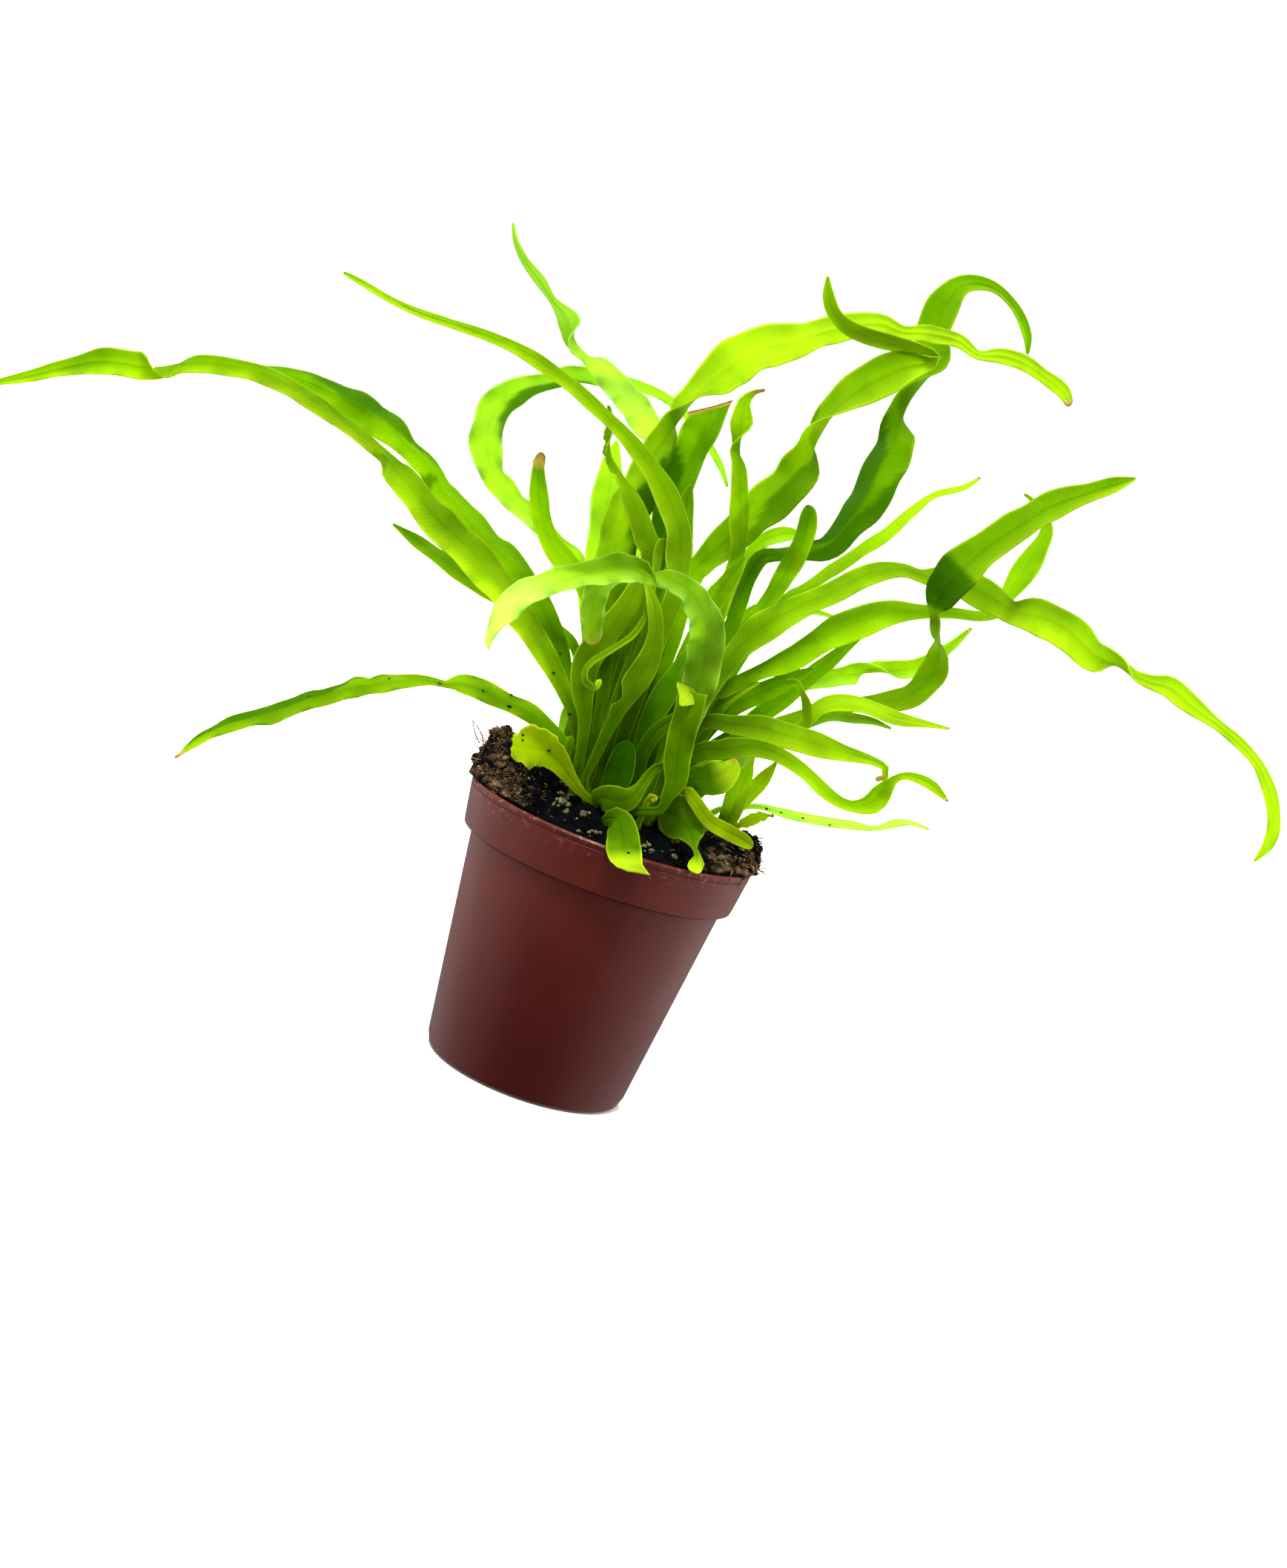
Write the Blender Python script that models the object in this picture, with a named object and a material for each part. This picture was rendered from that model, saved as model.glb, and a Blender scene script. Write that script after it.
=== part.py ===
"""A young bird's nest fern in its nursery pot, in metres with +Z up.

The origin is the centre of the pot's underside, and the front of the plant faces -Y. Every frond is
a solid blade swept along a route that was chosen by hand. A route is drawn in the front view, where
right and up are millimetres in an upright plane through the pot's axis, and depth is the distance
from that plane towards the viewer.
"""

import math
from dataclasses import dataclass

import bmesh
import bpy
from mathutils import Matrix, Quaternion, Vector, noise

MM = 0.001

# The front view: where the viewer stands, and the plane point that lies straight ahead
VIEW_DISTANCE = 418.4
VIEW_ELEVATION = math.radians(8.4)
AHEAD = Vector((3.1, 0.0, 64.1))
AHEAD_RIGHT = 3.1
AHEAD_UP = 65.2
SIGHT = Vector((0.0, math.cos(VIEW_ELEVATION), -math.sin(VIEW_ELEVATION)))
PLANE_UP = Vector((0.0, math.sin(VIEW_ELEVATION), math.cos(VIEW_ELEVATION)))
EYE = AHEAD - SIGHT * VIEW_DISTANCE

# Pot
POT_HEIGHT = 55.0
RIM_RADIUS = 29.8
BAND_RADIUS = 28.6
BAND_BOTTOM = 45.2
BODY_TOP_RADIUS = 26.6
BODY_BOTTOM_RADIUS = 21.2
BASE_RADIUS = 19.6
BASE_ROUND = 2.2
WALL = 1.0
FLOOR = 1.2
LIP = 0.4
SIDES = 36
DRAIN_COUNT = 6
DRAIN_RADIUS = 2.4
DRAIN_CIRCLE = 13.0
DRAIN_TURN = math.radians(23.0)

# Root ball
GAP = 0.3
SOIL_LEVEL = 53.0
CROWN_HEIGHT = 6.8
CROWN_CENTRE = (1.5, -0.5)
CROWN_REACH = 19.5
LEFT_LUMP = (-26.5, -6.0, 5.6, 12.0)
MIDDLE_LUMP = (-18.0, -12.5, 3.4, 4.0)
RIGHT_LUMP = (27.5, -4.5, 4.4, 7.6)
OVERHANG = 2.7
OVERHANG_REACH = math.radians(24.0)
SOIL_RINGS = (0.94, 0.84, 0.70, 0.55, 0.40, 0.25, 0.11)
CRUMB = 0.7
CRUMB_SIZE = 3.1

# Blades
THICKNESS = 0.7
TIP_WIDTH = 0.9
STEP = 6.0
RIPPLE = 0.10
RIPPLE_LENGTH = 12.0
LEAN = math.radians(30.0)
LEAN_START = 22.0
LEAN_FULL = 50.0
ROOT_DEPTH = 3.0
ROOT_WIDTH = 1.8
HOLE_REACH = 7.0

LIME = "#8fc400"
DEEP = "#4c9400"
INNER = "#2f7a00"
PALE = "#c4ee70"
YELLOW = "#b5c800"


@dataclass(frozen=True)
class Frond:
    """One blade.

    root is where it leaves the soil, as x and y. depths are spread evenly from the first point of
    the route to its tip. A point of the route is right, up, width and, where it changes, the turn
    of the blade about its midrib in degrees: 0 shows its face and 90 its edge. The last point may
    leave out the width.
    """

    name: str
    colour: str
    root: tuple
    depths: tuple
    route: tuple
    fold: float = 0.16


FRONDS = (
    Frond("left_long", LIME, (-8.5, -4.5), (3.3, -8, -15), (
        (-13, 71, 2.5), (-18, 77, 3), (-25, 83.5, 4.5), (-35, 91, 6), (-45, 97, 7), (-55, 101.5, 6.5),
        (-63, 106, 5.5, 40), (-66, 107.5, 5, 90), (-75, 111.5, 4.5, 150), (-85, 114.5, 3.3, 180),
        (-95, 116.3, 3.5), (-105, 115.3, 3.5), (-112, 113, 3.8, 200), (-116, 111, 4.5, 270),
        (-120, 109.5, 5, 350), (-128, 107.5, 5, 360), (-135, 103.5, 3), (-142, 99, 2), (-149, 95))),
    Frond("left_folded", DEEP, (-9.5, -1.5), (0.8, -12, -20), (
        (-13, 71.5, 2.5), (-18, 78.5, 3), (-23, 86, 4.5), (-29, 92.5, 5), (-36, 97.5, 6), (-44, 101, 6.5),
        (-52, 105, 5.5, 30), (-57, 108, 4.5, 90), (-62, 112, 4.8, 150), (-70, 116, 6, 180),
        (-78, 117.5, 6.5), (-86, 118, 5), (-93, 118, 3), (-98, 117.5)), 0.45),
    Frond("left_low", LIME, (-10.5, -8), (7.5, 12, 15), (
        (-11.5, 64.5, 2), (-14, 66.5, 3), (-18, 69, 3), (-23, 70.7, 4), (-29, 71.5, 4.3), (-38, 72, 4),
        (-41, 70.5, 3.5, 80), (-47, 69, 2.8, 170), (-53, 66.5, 3), (-58, 64.5, 3.5), (-63, 60.5, 3.5),
        (-70, 55.5, 4.5), (-76, 51, 4.5), (-82, 45.5, 3.2), (-87, 38))),
    Frond("left_small", DEEP, (-8, 5), (-6, -12, -28), (
        (-12.5, 76, 2), (-19, 86, 2), (-24, 88.5, 2.5), (-32, 91, 3), (-38, 91, 3.3), (-44, 92, 3.3),
        (-50, 93.8, 3), (-56, 95.5, 2.5), (-62, 97))),
    Frond("left_hooked", PALE, (-10, 12.5), (-14, -25, -40, -43, -45), (
        (-14, 80, 2.5), (-23, 101, 3), (-30, 105, 3), (-36, 108, 4), (-42, 110.5, 4.5), (-47, 114, 5),
        (-50, 119.5, 6.5), (-50.5, 125, 6.5), (-48, 130, 5.5), (-43, 134, 3.5), (-38, 137.5, 3.5),
        (-31, 139, 3), (-24, 139.8, 2), (-16, 138.5, 1.6), (-6, 132, 1.4), (-1.5, 127))),
    Frond("upper_left_thin", LIME, (-3, -6.5), (5.5, 8, 11, 15, 18), (
        (-4, 70, 2.4), (-4, 90, 3.4), (-4, 105, 4), (-5.5, 110, 5), (-7.5, 115.5, 5), (-11, 120, 5),
        (-15.5, 124, 4.2), (-20, 127.3, 3.5), (-25, 130, 2.8), (-30, 132.3, 2.6), (-38, 135.5, 2.7),
        (-47, 138, 2.6), (-55, 139, 2), (-65, 138.8, 1.7), (-75, 138.8, 1.3), (-85, 140.5, 1),
        (-88.5, 141))),
    Frond("top_left_pale", PALE, (-5, 15.5), (-18.5, -26, -36, -40), (
        (-12, 85, 2.5), (-15.5, 112, 4), (-17, 129, 5), (-21, 133.5, 5.5), (-27, 137.5, 5.5),
        (-34, 141, 4), (-39.5, 143.5, 3.5, 90), (-43, 147.5, 4, 170), (-47, 150, 1.4), (-51, 153, 2),
        (-55, 155.5, 1.5), (-58, 158.5, 1), (-60, 162))),
    Frond("top_arching", LIME, (-7, 7.5), (-8.5, -8.5, -8, -8, -8), (
        (-12.5, 80, 5), (-17, 101, 7), (-18.5, 108, 8), (-19, 115, 8), (-18, 122, 8), (-17.5, 128, 6.5),
        (-15.8, 134, 5, 50), (-14.8, 137, 5.5, 90), (-13.5, 141.5, 6.5, 140), (-11, 146.5, 8, 180),
        (-7.5, 152, 9), (-3.5, 156, 8.5), (1, 158.5, 7), (6, 162.5, 5.5), (11, 165.5, 5), (16, 168, 4),
        (21, 168, 2.4), (26, 169.5, 3.5), (32, 170.2, 2.5), (36.8, 168.9, 1.8), (41, 170.3, 2.8),
        (46, 170.5, 3), (51, 169.3, 2.6), (55, 168, 2.6), (57.5, 165.7, 1.4))),
    Frond("centre_cut", DEEP, (-5, 2.5), (-3.5, -4), (
        (-8, 80, 5), (-9.5, 98, 6), (-10, 112, 5), (-10.8, 118, 6), (-10.8, 125, 6.5), (-10.2, 131, 7.5),
        (-10, 136, 7.5), (-9.5, 141, 5))),
    Frond("centre_shredded", LIME, (-4.5, -3), (1.8, 1.6, 3), (
        (-8, 82, 4), (-10.5, 107, 4), (-13.5, 112, 4.5), (-17.5, 117, 4), (-21.5, 121.5, 3, 50),
        (-25.5, 125, 2.4, 90), (-27.5, 129.5, 1.8, 140), (-28, 132, 1.2), (-29.5, 134))),
    Frond("centre_twisted", LIME, (2.5, 2), (-3, -1.5, 1.5), (
        (3.5, 80, 4), (5, 100, 3.5), (5.5, 111, 3), (5, 115.5, 3), (3.5, 120.5, 3.8), (1.6, 126, 3.5),
        (-0.3, 131, 3), (-1.9, 135.5, 3.2, 90), (-2.3, 137.5, 3.4, 120), (-3.6, 141, 4.3, 180),
        (-4.2, 144, 2.5), (-3, 146.5, 1), (-1, 147.8))),
    Frond("top_folded_back", LIME, (-1.5, 5), (-6, -6, -4, 0, 4, 5, 5), (
        (-2, 85, 5), (-2.5, 106, 4.5), (-1, 111, 5), (2, 117, 6.5), (6, 125, 8), (10, 133, 8.5),
        (12, 139, 6, 50), (12.5, 143, 6, 90), (14, 149, 7, 140), (18, 155.5, 8, 180), (23, 160.8, 7),
        (27, 163.6, 3.5, 200), (28.8, 165.6, 2.5, 270), (26, 165.6, 2.8, 340), (20, 165.2, 3.3, 360),
        (12, 164.9, 3), (7.5, 166.3, 2.8), (4.6, 169.5, 2.3), (3, 173.5))),
    Frond("top_hooked", DEEP, (6.5, 7.5), (-8.5, -12, -18, -20, -24), (
        (8.5, 80, 4), (9, 95, 3.6), (8.7, 103, 3), (8.5, 110, 3), (9.5, 116, 3), (13, 118, 2.5),
        (18, 120.5, 3.5), (21.5, 123, 5), (24, 129, 6), (25.5, 135, 8), (26, 141, 8), (26.5, 147, 7.5),
        (26.7, 152, 5.5, 50), (27.2, 156.3, 4.5, 90), (28.5, 160.5, 5, 140), (29.3, 165, 6, 180),
        (27.4, 170, 7), (27.2, 175, 6.5), (28.5, 180, 4.5), (31.5, 182.3, 2.8), (36, 182.5, 1.8),
        (41, 180, 1.7), (44.5, 176, 1.6), (46, 172.5)), 0.35),
    Frond("right_thin", DEEP, (8, 10), (-11.5, -20, -35, -45), (
        (11, 85, 1.8), (14, 100, 1.8), (17, 109.5, 1.8), (20, 113, 2), (24, 118.5, 2.4), (28, 124, 2.4),
        (32, 129.5, 2.4), (35, 135, 1.8), (38, 139.5, 1.2), (43, 143, 1), (45.5, 146))),
    Frond("right_upright", LIME, (5.5, -1.5), (0.5, -2, -4, -5, -6, 5.5, 7, 7, 8), (
        (8, 70, 2), (18, 80, 3), (28, 88.5, 3), (35, 93.5, 3), (40, 96, 3), (44, 98, 4),
        (47.5, 100.5, 5), (49.5, 104.5, 5.5), (50.3, 109, 4.5, 40), (49, 112.5, 4, 90),
        (48.3, 115.5, 3.6, 130), (47.8, 118, 4, 150), (46.8, 120.5, 5.5, 180), (47.3, 123.5, 7),
        (49.5, 128.5, 7.5), (52.5, 134.5, 6.5), (57, 140.5, 6), (61.5, 146, 5.5), (66.5, 150, 4),
        (71, 153.6, 3), (74.9, 156.5))),
    Frond("right_ruffled", LIME, (4.5, -8), (6, 3, 0, -1.5, -1, 0), (
        (7, 75, 2.5), (9.5, 88, 3), (10.5, 94, 4), (13, 100, 5.5), (17, 106, 6), (22, 111, 4.5),
        (26.5, 115.5, 4.5), (32, 121, 4), (37, 123.3, 2.8), (41, 123.5, 2.4), (45, 124.5, 4.5),
        (50, 125, 6), (57, 124, 5.5), (61, 123, 4.8), (66, 124, 7), (72, 123.5, 7.5), (79, 120.5, 6),
        (83, 120, 4, 50), (85.5, 119.7, 3.5, 90), (88, 118.9, 3, 140), (92, 119, 2.8, 180),
        (96, 119.3, 4.5), (101, 117.5, 3.5), (107, 115.7, 2.2), (113, 113.5, 2), (118, 110.5, 2.2),
        (122, 106, 2.6), (124.5, 101, 2.6), (125, 97, 2.2), (123.5, 92.5))),
    Frond("right_twisted", DEEP, (5.5, -5), (2.5, 0, -3, -6, -10, -15), (
        (9, 84, 2), (12, 88.5, 3), (17, 94, 3), (21.5, 98, 4.5), (25, 102.5, 5), (29, 107.5, 6),
        (33.5, 111.5, 6.5), (38.5, 115, 4.5), (44, 117, 2.8), (50, 118.8, 2), (55, 120, 2),
        (58, 121.8, 1.8), (58.7, 126, 3), (60, 131, 5), (61, 136, 3.8), (61.5, 141, 2.5),
        (58, 144.7, 1), (55, 146))),
    Frond("right_straight", DEEP, (8, 3), (-4, -8), (
        (10, 72, 2), (17, 81, 3), (21, 87, 3.5), (24, 91.5, 3.5), (26.5, 96, 3.3), (29.5, 101, 3),
        (32.5, 106, 1.8), (35, 109.8))),
    Frond("right_pale", PALE, (10, 12), (-13.5, -22, -30), (
        (14, 76, 2), (20, 87, 2.3), (25, 93.5, 2.5), (29, 97, 3.5), (34, 99.8, 4), (38.5, 101.8, 4, 90),
        (43, 103.7, 4.5, 170), (47.5, 106.5, 3.5), (51, 111, 2.5), (54.2, 117))),
    Frond("right_small", LIME, (7.5, -6), (4.5, 5, 6), (
        (14, 73, 1.6), (23, 81.5, 1.6), (29.3, 87.5, 2), (30.5, 91, 3), (33.5, 93.7, 3.3),
        (39, 95.2, 3), (46, 95, 2.8), (52, 95.9, 1.4), (57, 96.6))),
    Frond("right_curled", LIME, (6, -9), (8.5, 11, 15, 18), (
        (7.5, 70, 2), (10, 80.5, 2.5), (16, 82.5, 4), (22, 84, 5), (28, 84.3, 5.3), (34, 84.7, 4.6),
        (40, 85, 3), (45, 85.3, 1.6), (47.6, 84.8, 1.4), (48.2, 83.2, 1.2), (46.5, 82, 1))),
    Frond("right_low_twisted", LIME, (9.2, -10.8), (10.5, 14, 20, 26, 30), (
        (10.5, 73.5, 3), (15, 76.8, 4), (20, 79.2, 4), (26, 80, 3.2), (32, 78.8, 2.8), (38, 76.3, 2.6, 20),
        (43, 75.3, 3, 90), (46, 77, 3.3, 160), (48.5, 80.5, 3, 200), (50.3, 84, 2.4, 270),
        (54, 85.1, 1.9, 340), (58, 84.6, 1.7, 360), (61.7, 82.8))),
    Frond("right_low_pale", PALE, (16, 3), (-3, 0, 5), (
        (19, 65.5, 1.2), (24, 67.9, 1), (27, 69, 1.2), (32, 69.4, 1.9), (39, 70.4, 2), (45.5, 71.8, 1.8),
        (49.8, 72.7, 1), (53, 74.9, 1.7), (56, 76.2, 1), (60, 76.2))),
    Frond("right_ragged", YELLOW, (18.5, 5), (-6, -7), (
        (22, 63, 1.4), (23.8, 64, 1.5), (26, 66, 2.5), (28, 67.4, 1.8), (29.8, 68.2))),
    Frond("rim_tongue", LIME, (-1.5, -16.5), (17, 21, 28, 31.5, 33), (
        (-1.2, 59.5, 2.5), (0.3, 58.2, 4.5), (1.8, 56.5, 6), (3.2, 53.5, 7), (4.6, 50.4, 7.2), (6, 48.6, 6.6), (6.8, 47.4, 4.5))),
    Frond("hood", LIME, (-3.2, -12.5), (13, 14.5, 14.8), (
        (-3, 58.5, 3), (-2, 60.5, 5), (1, 62.6, 4), (3, 65.5, 2.5), (4, 68.5, 2), (5.2, 69.8, 1.2))),
    Frond("right_pleated", LIME, (5.6, -15.4), (15, 16, 24.5), (
        (7, 61.5, 3.5), (9.5, 62, 8), (12.5, 61.3, 8.5), (15, 59.5, 5.5), (16.5, 57, 1.6),
        (18.3, 54.6, 3), (18.4, 52, 2))),
    Frond("right_short_low", YELLOW, (12.5, -13.5), (13.3, 13.5, 15, 18, 18, 17, 15.5, 14), (
        (12.5, 60, 1.8), (11.2, 66.8, 1.8), (13.5, 65.8, 2.6), (18, 62.8, 3), (22, 62, 3.2),
        (26, 61.4, 2.8), (28, 60.7, 1.4))),
    Frond("front_tall", LIME, (2.2, -16), (17.4, 19, 19, 19, 20), (
        (3.5, 59.5, 1.6), (8, 61.5, 1.6), (8.4, 64.5, 2.5), (9, 68, 4.5), (7.8, 72, 5.5), (6.9, 77, 5.7),
        (6.7, 82, 5.7), (6.2, 85, 4), (3, 86.2, 2, 40), (4.2, 82.8, 1.2, 60))),
    Frond("soil_lobed", YELLOW, (-3.5, -14.5), (14, 14, 14), (
        (-5, 58.4, 1.2), (-8, 59.3, 1.8), (-12, 61.3, 3), (-16, 64, 6), (-20, 64.7, 8.5), (-22.8, 64.3, 6.5),
        (-24.6, 64.2, 2.5))),
    Frond("near_arching", PALE, (6.6, -13.2), (14, 15, 32, 46, 56, 60), (
        (7.5, 76, 3), (7.5, 88, 5), (7, 93, 6), (5.5, 98.5, 6.5), (2.5, 102.5, 5.5), (-2, 105, 4.5),
        (-6, 105.7, 3.8), (-9.5, 105, 3.8, 90), (-15, 105, 5, 170), (-20, 102.8, 4.8, 190),
        (-25, 99.3, 4.2, 270), (-28, 97.2, 4, 320), (-33, 92, 5.5, 360), (-35.5, 87, 5),
        (-35.5, 83, 2.6), (-35.3, 80))),
    Frond("near_blunt", PALE, (3.8, -11.3), (11.5, 11.9, 18.8, 31.5, 36, 36), (
        (7, 76, 2.2), (7.5, 88, 2.5), (7, 93, 2.5), (5.5, 98.5, 2.5), (2.5, 102.5, 2.5), (-2, 105, 2.5),
        (-6, 104.8, 2.5), (-10, 102.5, 3), (-15, 100, 4), (-18.5, 97.5, 5), (-18.5, 93, 5),
        (-17.3, 89.5, 4), (-17, 87.8, 2))),
    Frond("left_brown_tip", DEEP, (-7, -8.2), (7.4, 5.5, 2), (
        (-10, 75, 2), (-14, 90, 3), (-22, 99, 4), (-27, 102, 4.5), (-31, 104.5, 4), (-34.5, 109, 3.8),
        (-37, 114, 3.4), (-38.5, 118, 2.6), (-38.5, 120.3, 2))),
    Frond("left_broad", LIME, (-9, -11), (9.5, 10.5, 9.5), (
        (-12, 72, 2.5), (-14.5, 78, 4.5), (-16, 84, 5.5), (-14.5, 90, 5.5), (-12.5, 96, 4.5),
        (-11.5, 102, 3.5), (-11, 106, 1.5))),
    Frond("inner_wavy", LIME, (-6, -12.5), (11.5, 11.5), (
        (-8.2, 62, 1.5), (-7.8, 68, 2), (-7, 75, 2.5), (-6, 80, 3.5), (-5, 85, 5.2), (-4.3, 90, 4.5),
        (-5, 95, 3), (-7.5, 100, 2.5), (-10.5, 103.5))),
    Frond("inner_dark", INNER, (-7.3, -6), (5.2, 3.9), (
        (-10, 62, 2.5), (-11, 70, 3), (-11.5, 80, 3.5), (-12, 90, 3.5), (-12, 98))),
    Frond("inner_short", INNER, (-2.5, -9.2), (8, 8), (
        (-2.3, 60.5, 4), (-2.3, 65, 6), (-2.6, 70, 4.5), (-2.6, 72.3, 2))),
    Frond("inner_upright", INNER, (0, -4), (3.3, 3), (
        (0.5, 70, 3), (0, 76, 4), (0.8, 83, 5), (2.2, 90, 3.5), (2.6, 94.7))),
    Frond("inner_bent", DEEP, (1.5, -6.5), (5.6, 6), (
        (2, 63, 2.5), (0.8, 70, 3), (2, 76, 3), (4.6, 80, 2), (6, 82))),
    Frond("centre_right", DEEP, (5.5, 4.5), (-5.5, -6), (
        (9.5, 85, 3.4), (11.5, 100, 2.8), (13, 105.5, 2.7), (14.5, 110.5, 3.5), (15.5, 115.5, 4),
        (16.2, 119.6, 3.8), (16, 124, 3), (14.3, 128.8))),
    Frond("centre_slim", DEEP, (2.5, -2.2), (1.2, 1.5), (
        (2, 80, 4), (3.5, 103, 4), (4.5, 107.5, 4), (5.8, 111.5, 3), (6.8, 115))),
    Frond("right_cupped", LIME, (12.8, -9.3), (11.8, 13.2), (
        (12, 69, 3.5), (14.5, 70.5, 5.5), (17.2, 72.3, 6), (18.6, 74.4, 3.4), (18.8, 76, 1.6))),
    Frond("right_short_upright", DEEP, (19, 0.5), (-1, -1), (
        (20.6, 64, 3), (21.5, 69, 3.8), (22, 73, 3), (22.4, 76.6))),
    Frond("right_short_second", YELLOW, (17.5, -3.5), (1.5, 1.5), (
        (20.2, 64, 2), (22.8, 69.5, 2.4), (24.6, 74, 2.8), (26.5, 78.5))),
    Frond("right_inner", DEEP, (7, 0.8), (-2.2, -4), (
        (9.5, 72, 2.2), (12.5, 82, 3), (16, 87.5, 4), (20, 91.5, 4), (24, 95.5, 3), (27, 98.5))),
    Frond("left_pale_back", PALE, (-9, 10), (-11.2, -20, -26), (
        (-13, 82, 4.5), (-19, 100, 5.5), (-21, 108, 6), (-23, 116, 6), (-24.5, 123, 4.5), (-25.5, 128))),
    Frond("centre_back", DEEP, (-3, 0), (-1, -1.5), (
        (-4, 82, 5), (-5, 100, 5), (-5.5, 108, 4), (-6.5, 115, 4), (-8, 121, 3), (-8.5, 125))),
    Frond("back_left_high", DEEP, (-10, 19), (-23, -36, -50, -62), (
        (-9, 77, 3.6), (-13, 92, 6), (-17, 100, 6), (-18, 97, 3.5), (-18.5, 91))),
    Frond("back_left_low", LIME, (-14.5, 12), (-15, -34, -50, -62), (
        (-14, 70, 3), (-14, 78, 5), (-15, 78, 5), (-15.5, 71, 3.5), (-15.5, 63))),
    Frond("back_middle_high", LIME, (-1.5, 18.5), (-22, -40, -62, -84), (
        (-2, 78, 4), (-3.5, 96, 6), (-5, 102, 6), (-5.5, 101, 4), (-6, 97))),
    Frond("back_middle_low", DEEP, (3, 20.5), (-24, -44, -66, -86), (
        (3, 68, 3.5), (2, 74, 5.5), (0.5, 72, 5.5), (-1, 65, 4), (-2, 58))),
    Frond("back_right_high", LIME, (6, 17), (-19, -34, -54, -72), (
        (7.5, 76, 4), (10, 92, 5.5), (9.5, 99, 5.5), (8, 99, 3.5), (7, 96))),
    Frond("back_right_low", DEEP, (13, 15), (-18, -36, -56, -70), (
        (14, 68, 3), (18, 76, 5), (20, 77, 5), (21, 72, 3.5), (21, 65))),
)


def clear_scene():
    for scene_object in list(bpy.data.objects):
        bpy.data.objects.remove(scene_object, do_unlink=True)


def linear(channel):
    return channel / 12.92 if channel <= 0.04045 else ((channel + 0.055) / 1.055) ** 2.4


def material(name, colour, roughness):
    """A Principled material from a hex colour."""
    made = bpy.data.materials.new(name)
    made.use_nodes = True
    surface = made.node_tree.nodes["Principled BSDF"]
    channels = [linear(int(colour[start : start + 2], 16) / 255) for start in (1, 3, 5)]
    surface.inputs["Base Color"].default_value = (*channels, 1.0)
    surface.inputs["Roughness"].default_value = roughness
    made.diffuse_color = (*channels, 1.0)
    return made


def add_object(name, shape, finish, collection=None):
    """Turns a bmesh in millimetres into an object in metres."""
    bmesh.ops.scale(shape, vec=(MM, MM, MM), verts=shape.verts)
    mesh = bpy.data.meshes.new(name)
    shape.to_mesh(mesh)
    shape.free()
    mesh.materials.append(finish)
    made = bpy.data.objects.new(name, mesh)
    (collection or bpy.context.scene.collection).objects.link(made)
    return made


def hide_cutter(cutter):
    cutter.hide_render = True
    cutter.display_type = "WIRE"


def cut(target, name, **cutters):
    boolean = target.modifiers.new(name, "BOOLEAN")
    boolean.operation = "DIFFERENCE"
    boolean.solver = "EXACT"
    for setting, value in cutters.items():
        setattr(boolean, setting, value)


def turned(profile):
    """A closed bmesh from a profile of (radius, z) points that starts and ends on the axis."""
    shape = bmesh.new()
    rings = []
    for radius, height in profile:
        if radius == 0:
            rings.append([shape.verts.new((0, 0, height))])
            continue
        rings.append([shape.verts.new((*spoke(radius, side), height)) for side in range(SIDES)])
    for lower, upper in zip(rings, rings[1:]):
        join_rings(shape, lower, upper)
    bmesh.ops.recalc_face_normals(shape, faces=shape.faces)
    return shape


def spoke(radius, side):
    angle = 2 * math.pi * side / SIDES
    return radius * math.cos(angle), radius * math.sin(angle)


def join_rings(shape, lower, upper):
    """Faces between two rings, either of which may be a single point on the axis."""
    for side in range(SIDES):
        after = (side + 1) % SIDES
        if len(lower) == 1:
            shape.faces.new((lower[0], upper[after], upper[side]))
        elif len(upper) == 1:
            shape.faces.new((lower[side], lower[after], upper[0]))
        else:
            shape.faces.new((lower[side], lower[after], upper[after], upper[side]))


def inner_radius(height):
    """The radius of the pot's inner wall, below and above the step under its rim band."""
    if height < BAND_BOTTOM + WALL:
        share = (height - BASE_ROUND) / (BAND_BOTTOM - BASE_ROUND)
        return BODY_BOTTOM_RADIUS + (BODY_TOP_RADIUS - BODY_BOTTOM_RADIUS) * share - WALL
    share = (height - BAND_BOTTOM) / (POT_HEIGHT - BAND_BOTTOM)
    return BAND_RADIUS + (RIM_RADIUS - BAND_RADIUS) * share - WALL


def pot_profile():
    shelf = BAND_BOTTOM + WALL
    outside = [
        (0, 0), (BASE_RADIUS, 0), (BODY_BOTTOM_RADIUS - 0.6, 0.6), (BODY_BOTTOM_RADIUS, BASE_ROUND),
        (BODY_TOP_RADIUS, BAND_BOTTOM), (BAND_RADIUS - 0.8, BAND_BOTTOM),
        (BAND_RADIUS - 0.2, BAND_BOTTOM + 0.3), (BAND_RADIUS, BAND_BOTTOM + 1.1),
        (RIM_RADIUS, POT_HEIGHT - LIP), (RIM_RADIUS - 0.25, POT_HEIGHT),
    ]
    inside = [
        (RIM_RADIUS - WALL + 0.2, POT_HEIGHT), (inner_radius(POT_HEIGHT - LIP), POT_HEIGHT - LIP),
        (inner_radius(shelf), shelf), (inner_radius(shelf - 0.01), shelf),
        (inner_radius(FLOOR + 1.4), FLOOR + 1.4), (BASE_RADIUS - 0.6, FLOOR), (0, FLOOR),
    ]
    return outside + inside


def build_pot():
    pot = add_object("pot", turned(pot_profile()), material("pot_plastic", "#7a4a42", 0.42))
    for number in range(DRAIN_COUNT):
        angle = 2 * math.pi * number / DRAIN_COUNT + DRAIN_TURN
        shape = bmesh.new()
        place = (DRAIN_CIRCLE * math.cos(angle), DRAIN_CIRCLE * math.sin(angle), FLOOR / 2)
        bmesh.ops.create_cone(
            shape, cap_ends=True, segments=10, radius1=DRAIN_RADIUS, radius2=DRAIN_RADIUS,
            depth=FLOOR * 4, matrix=Matrix.Translation(place),
        )
        drain = add_object(f"drain_{number}", shape, pot.data.materials[0])
        hide_cutter(drain)
        cut(pot, drain.name, object=drain)
    pot.data.shade_smooth()
    pot.data.set_sharp_from_angle(angle=math.radians(35))
    return pot


def bump(x, y, lump):
    """The height that a round lump adds at a point."""
    across, along, size, height = lump
    return height * math.exp(-((x - across) ** 2 + (y - along) ** 2) / (2 * size**2))


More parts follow.
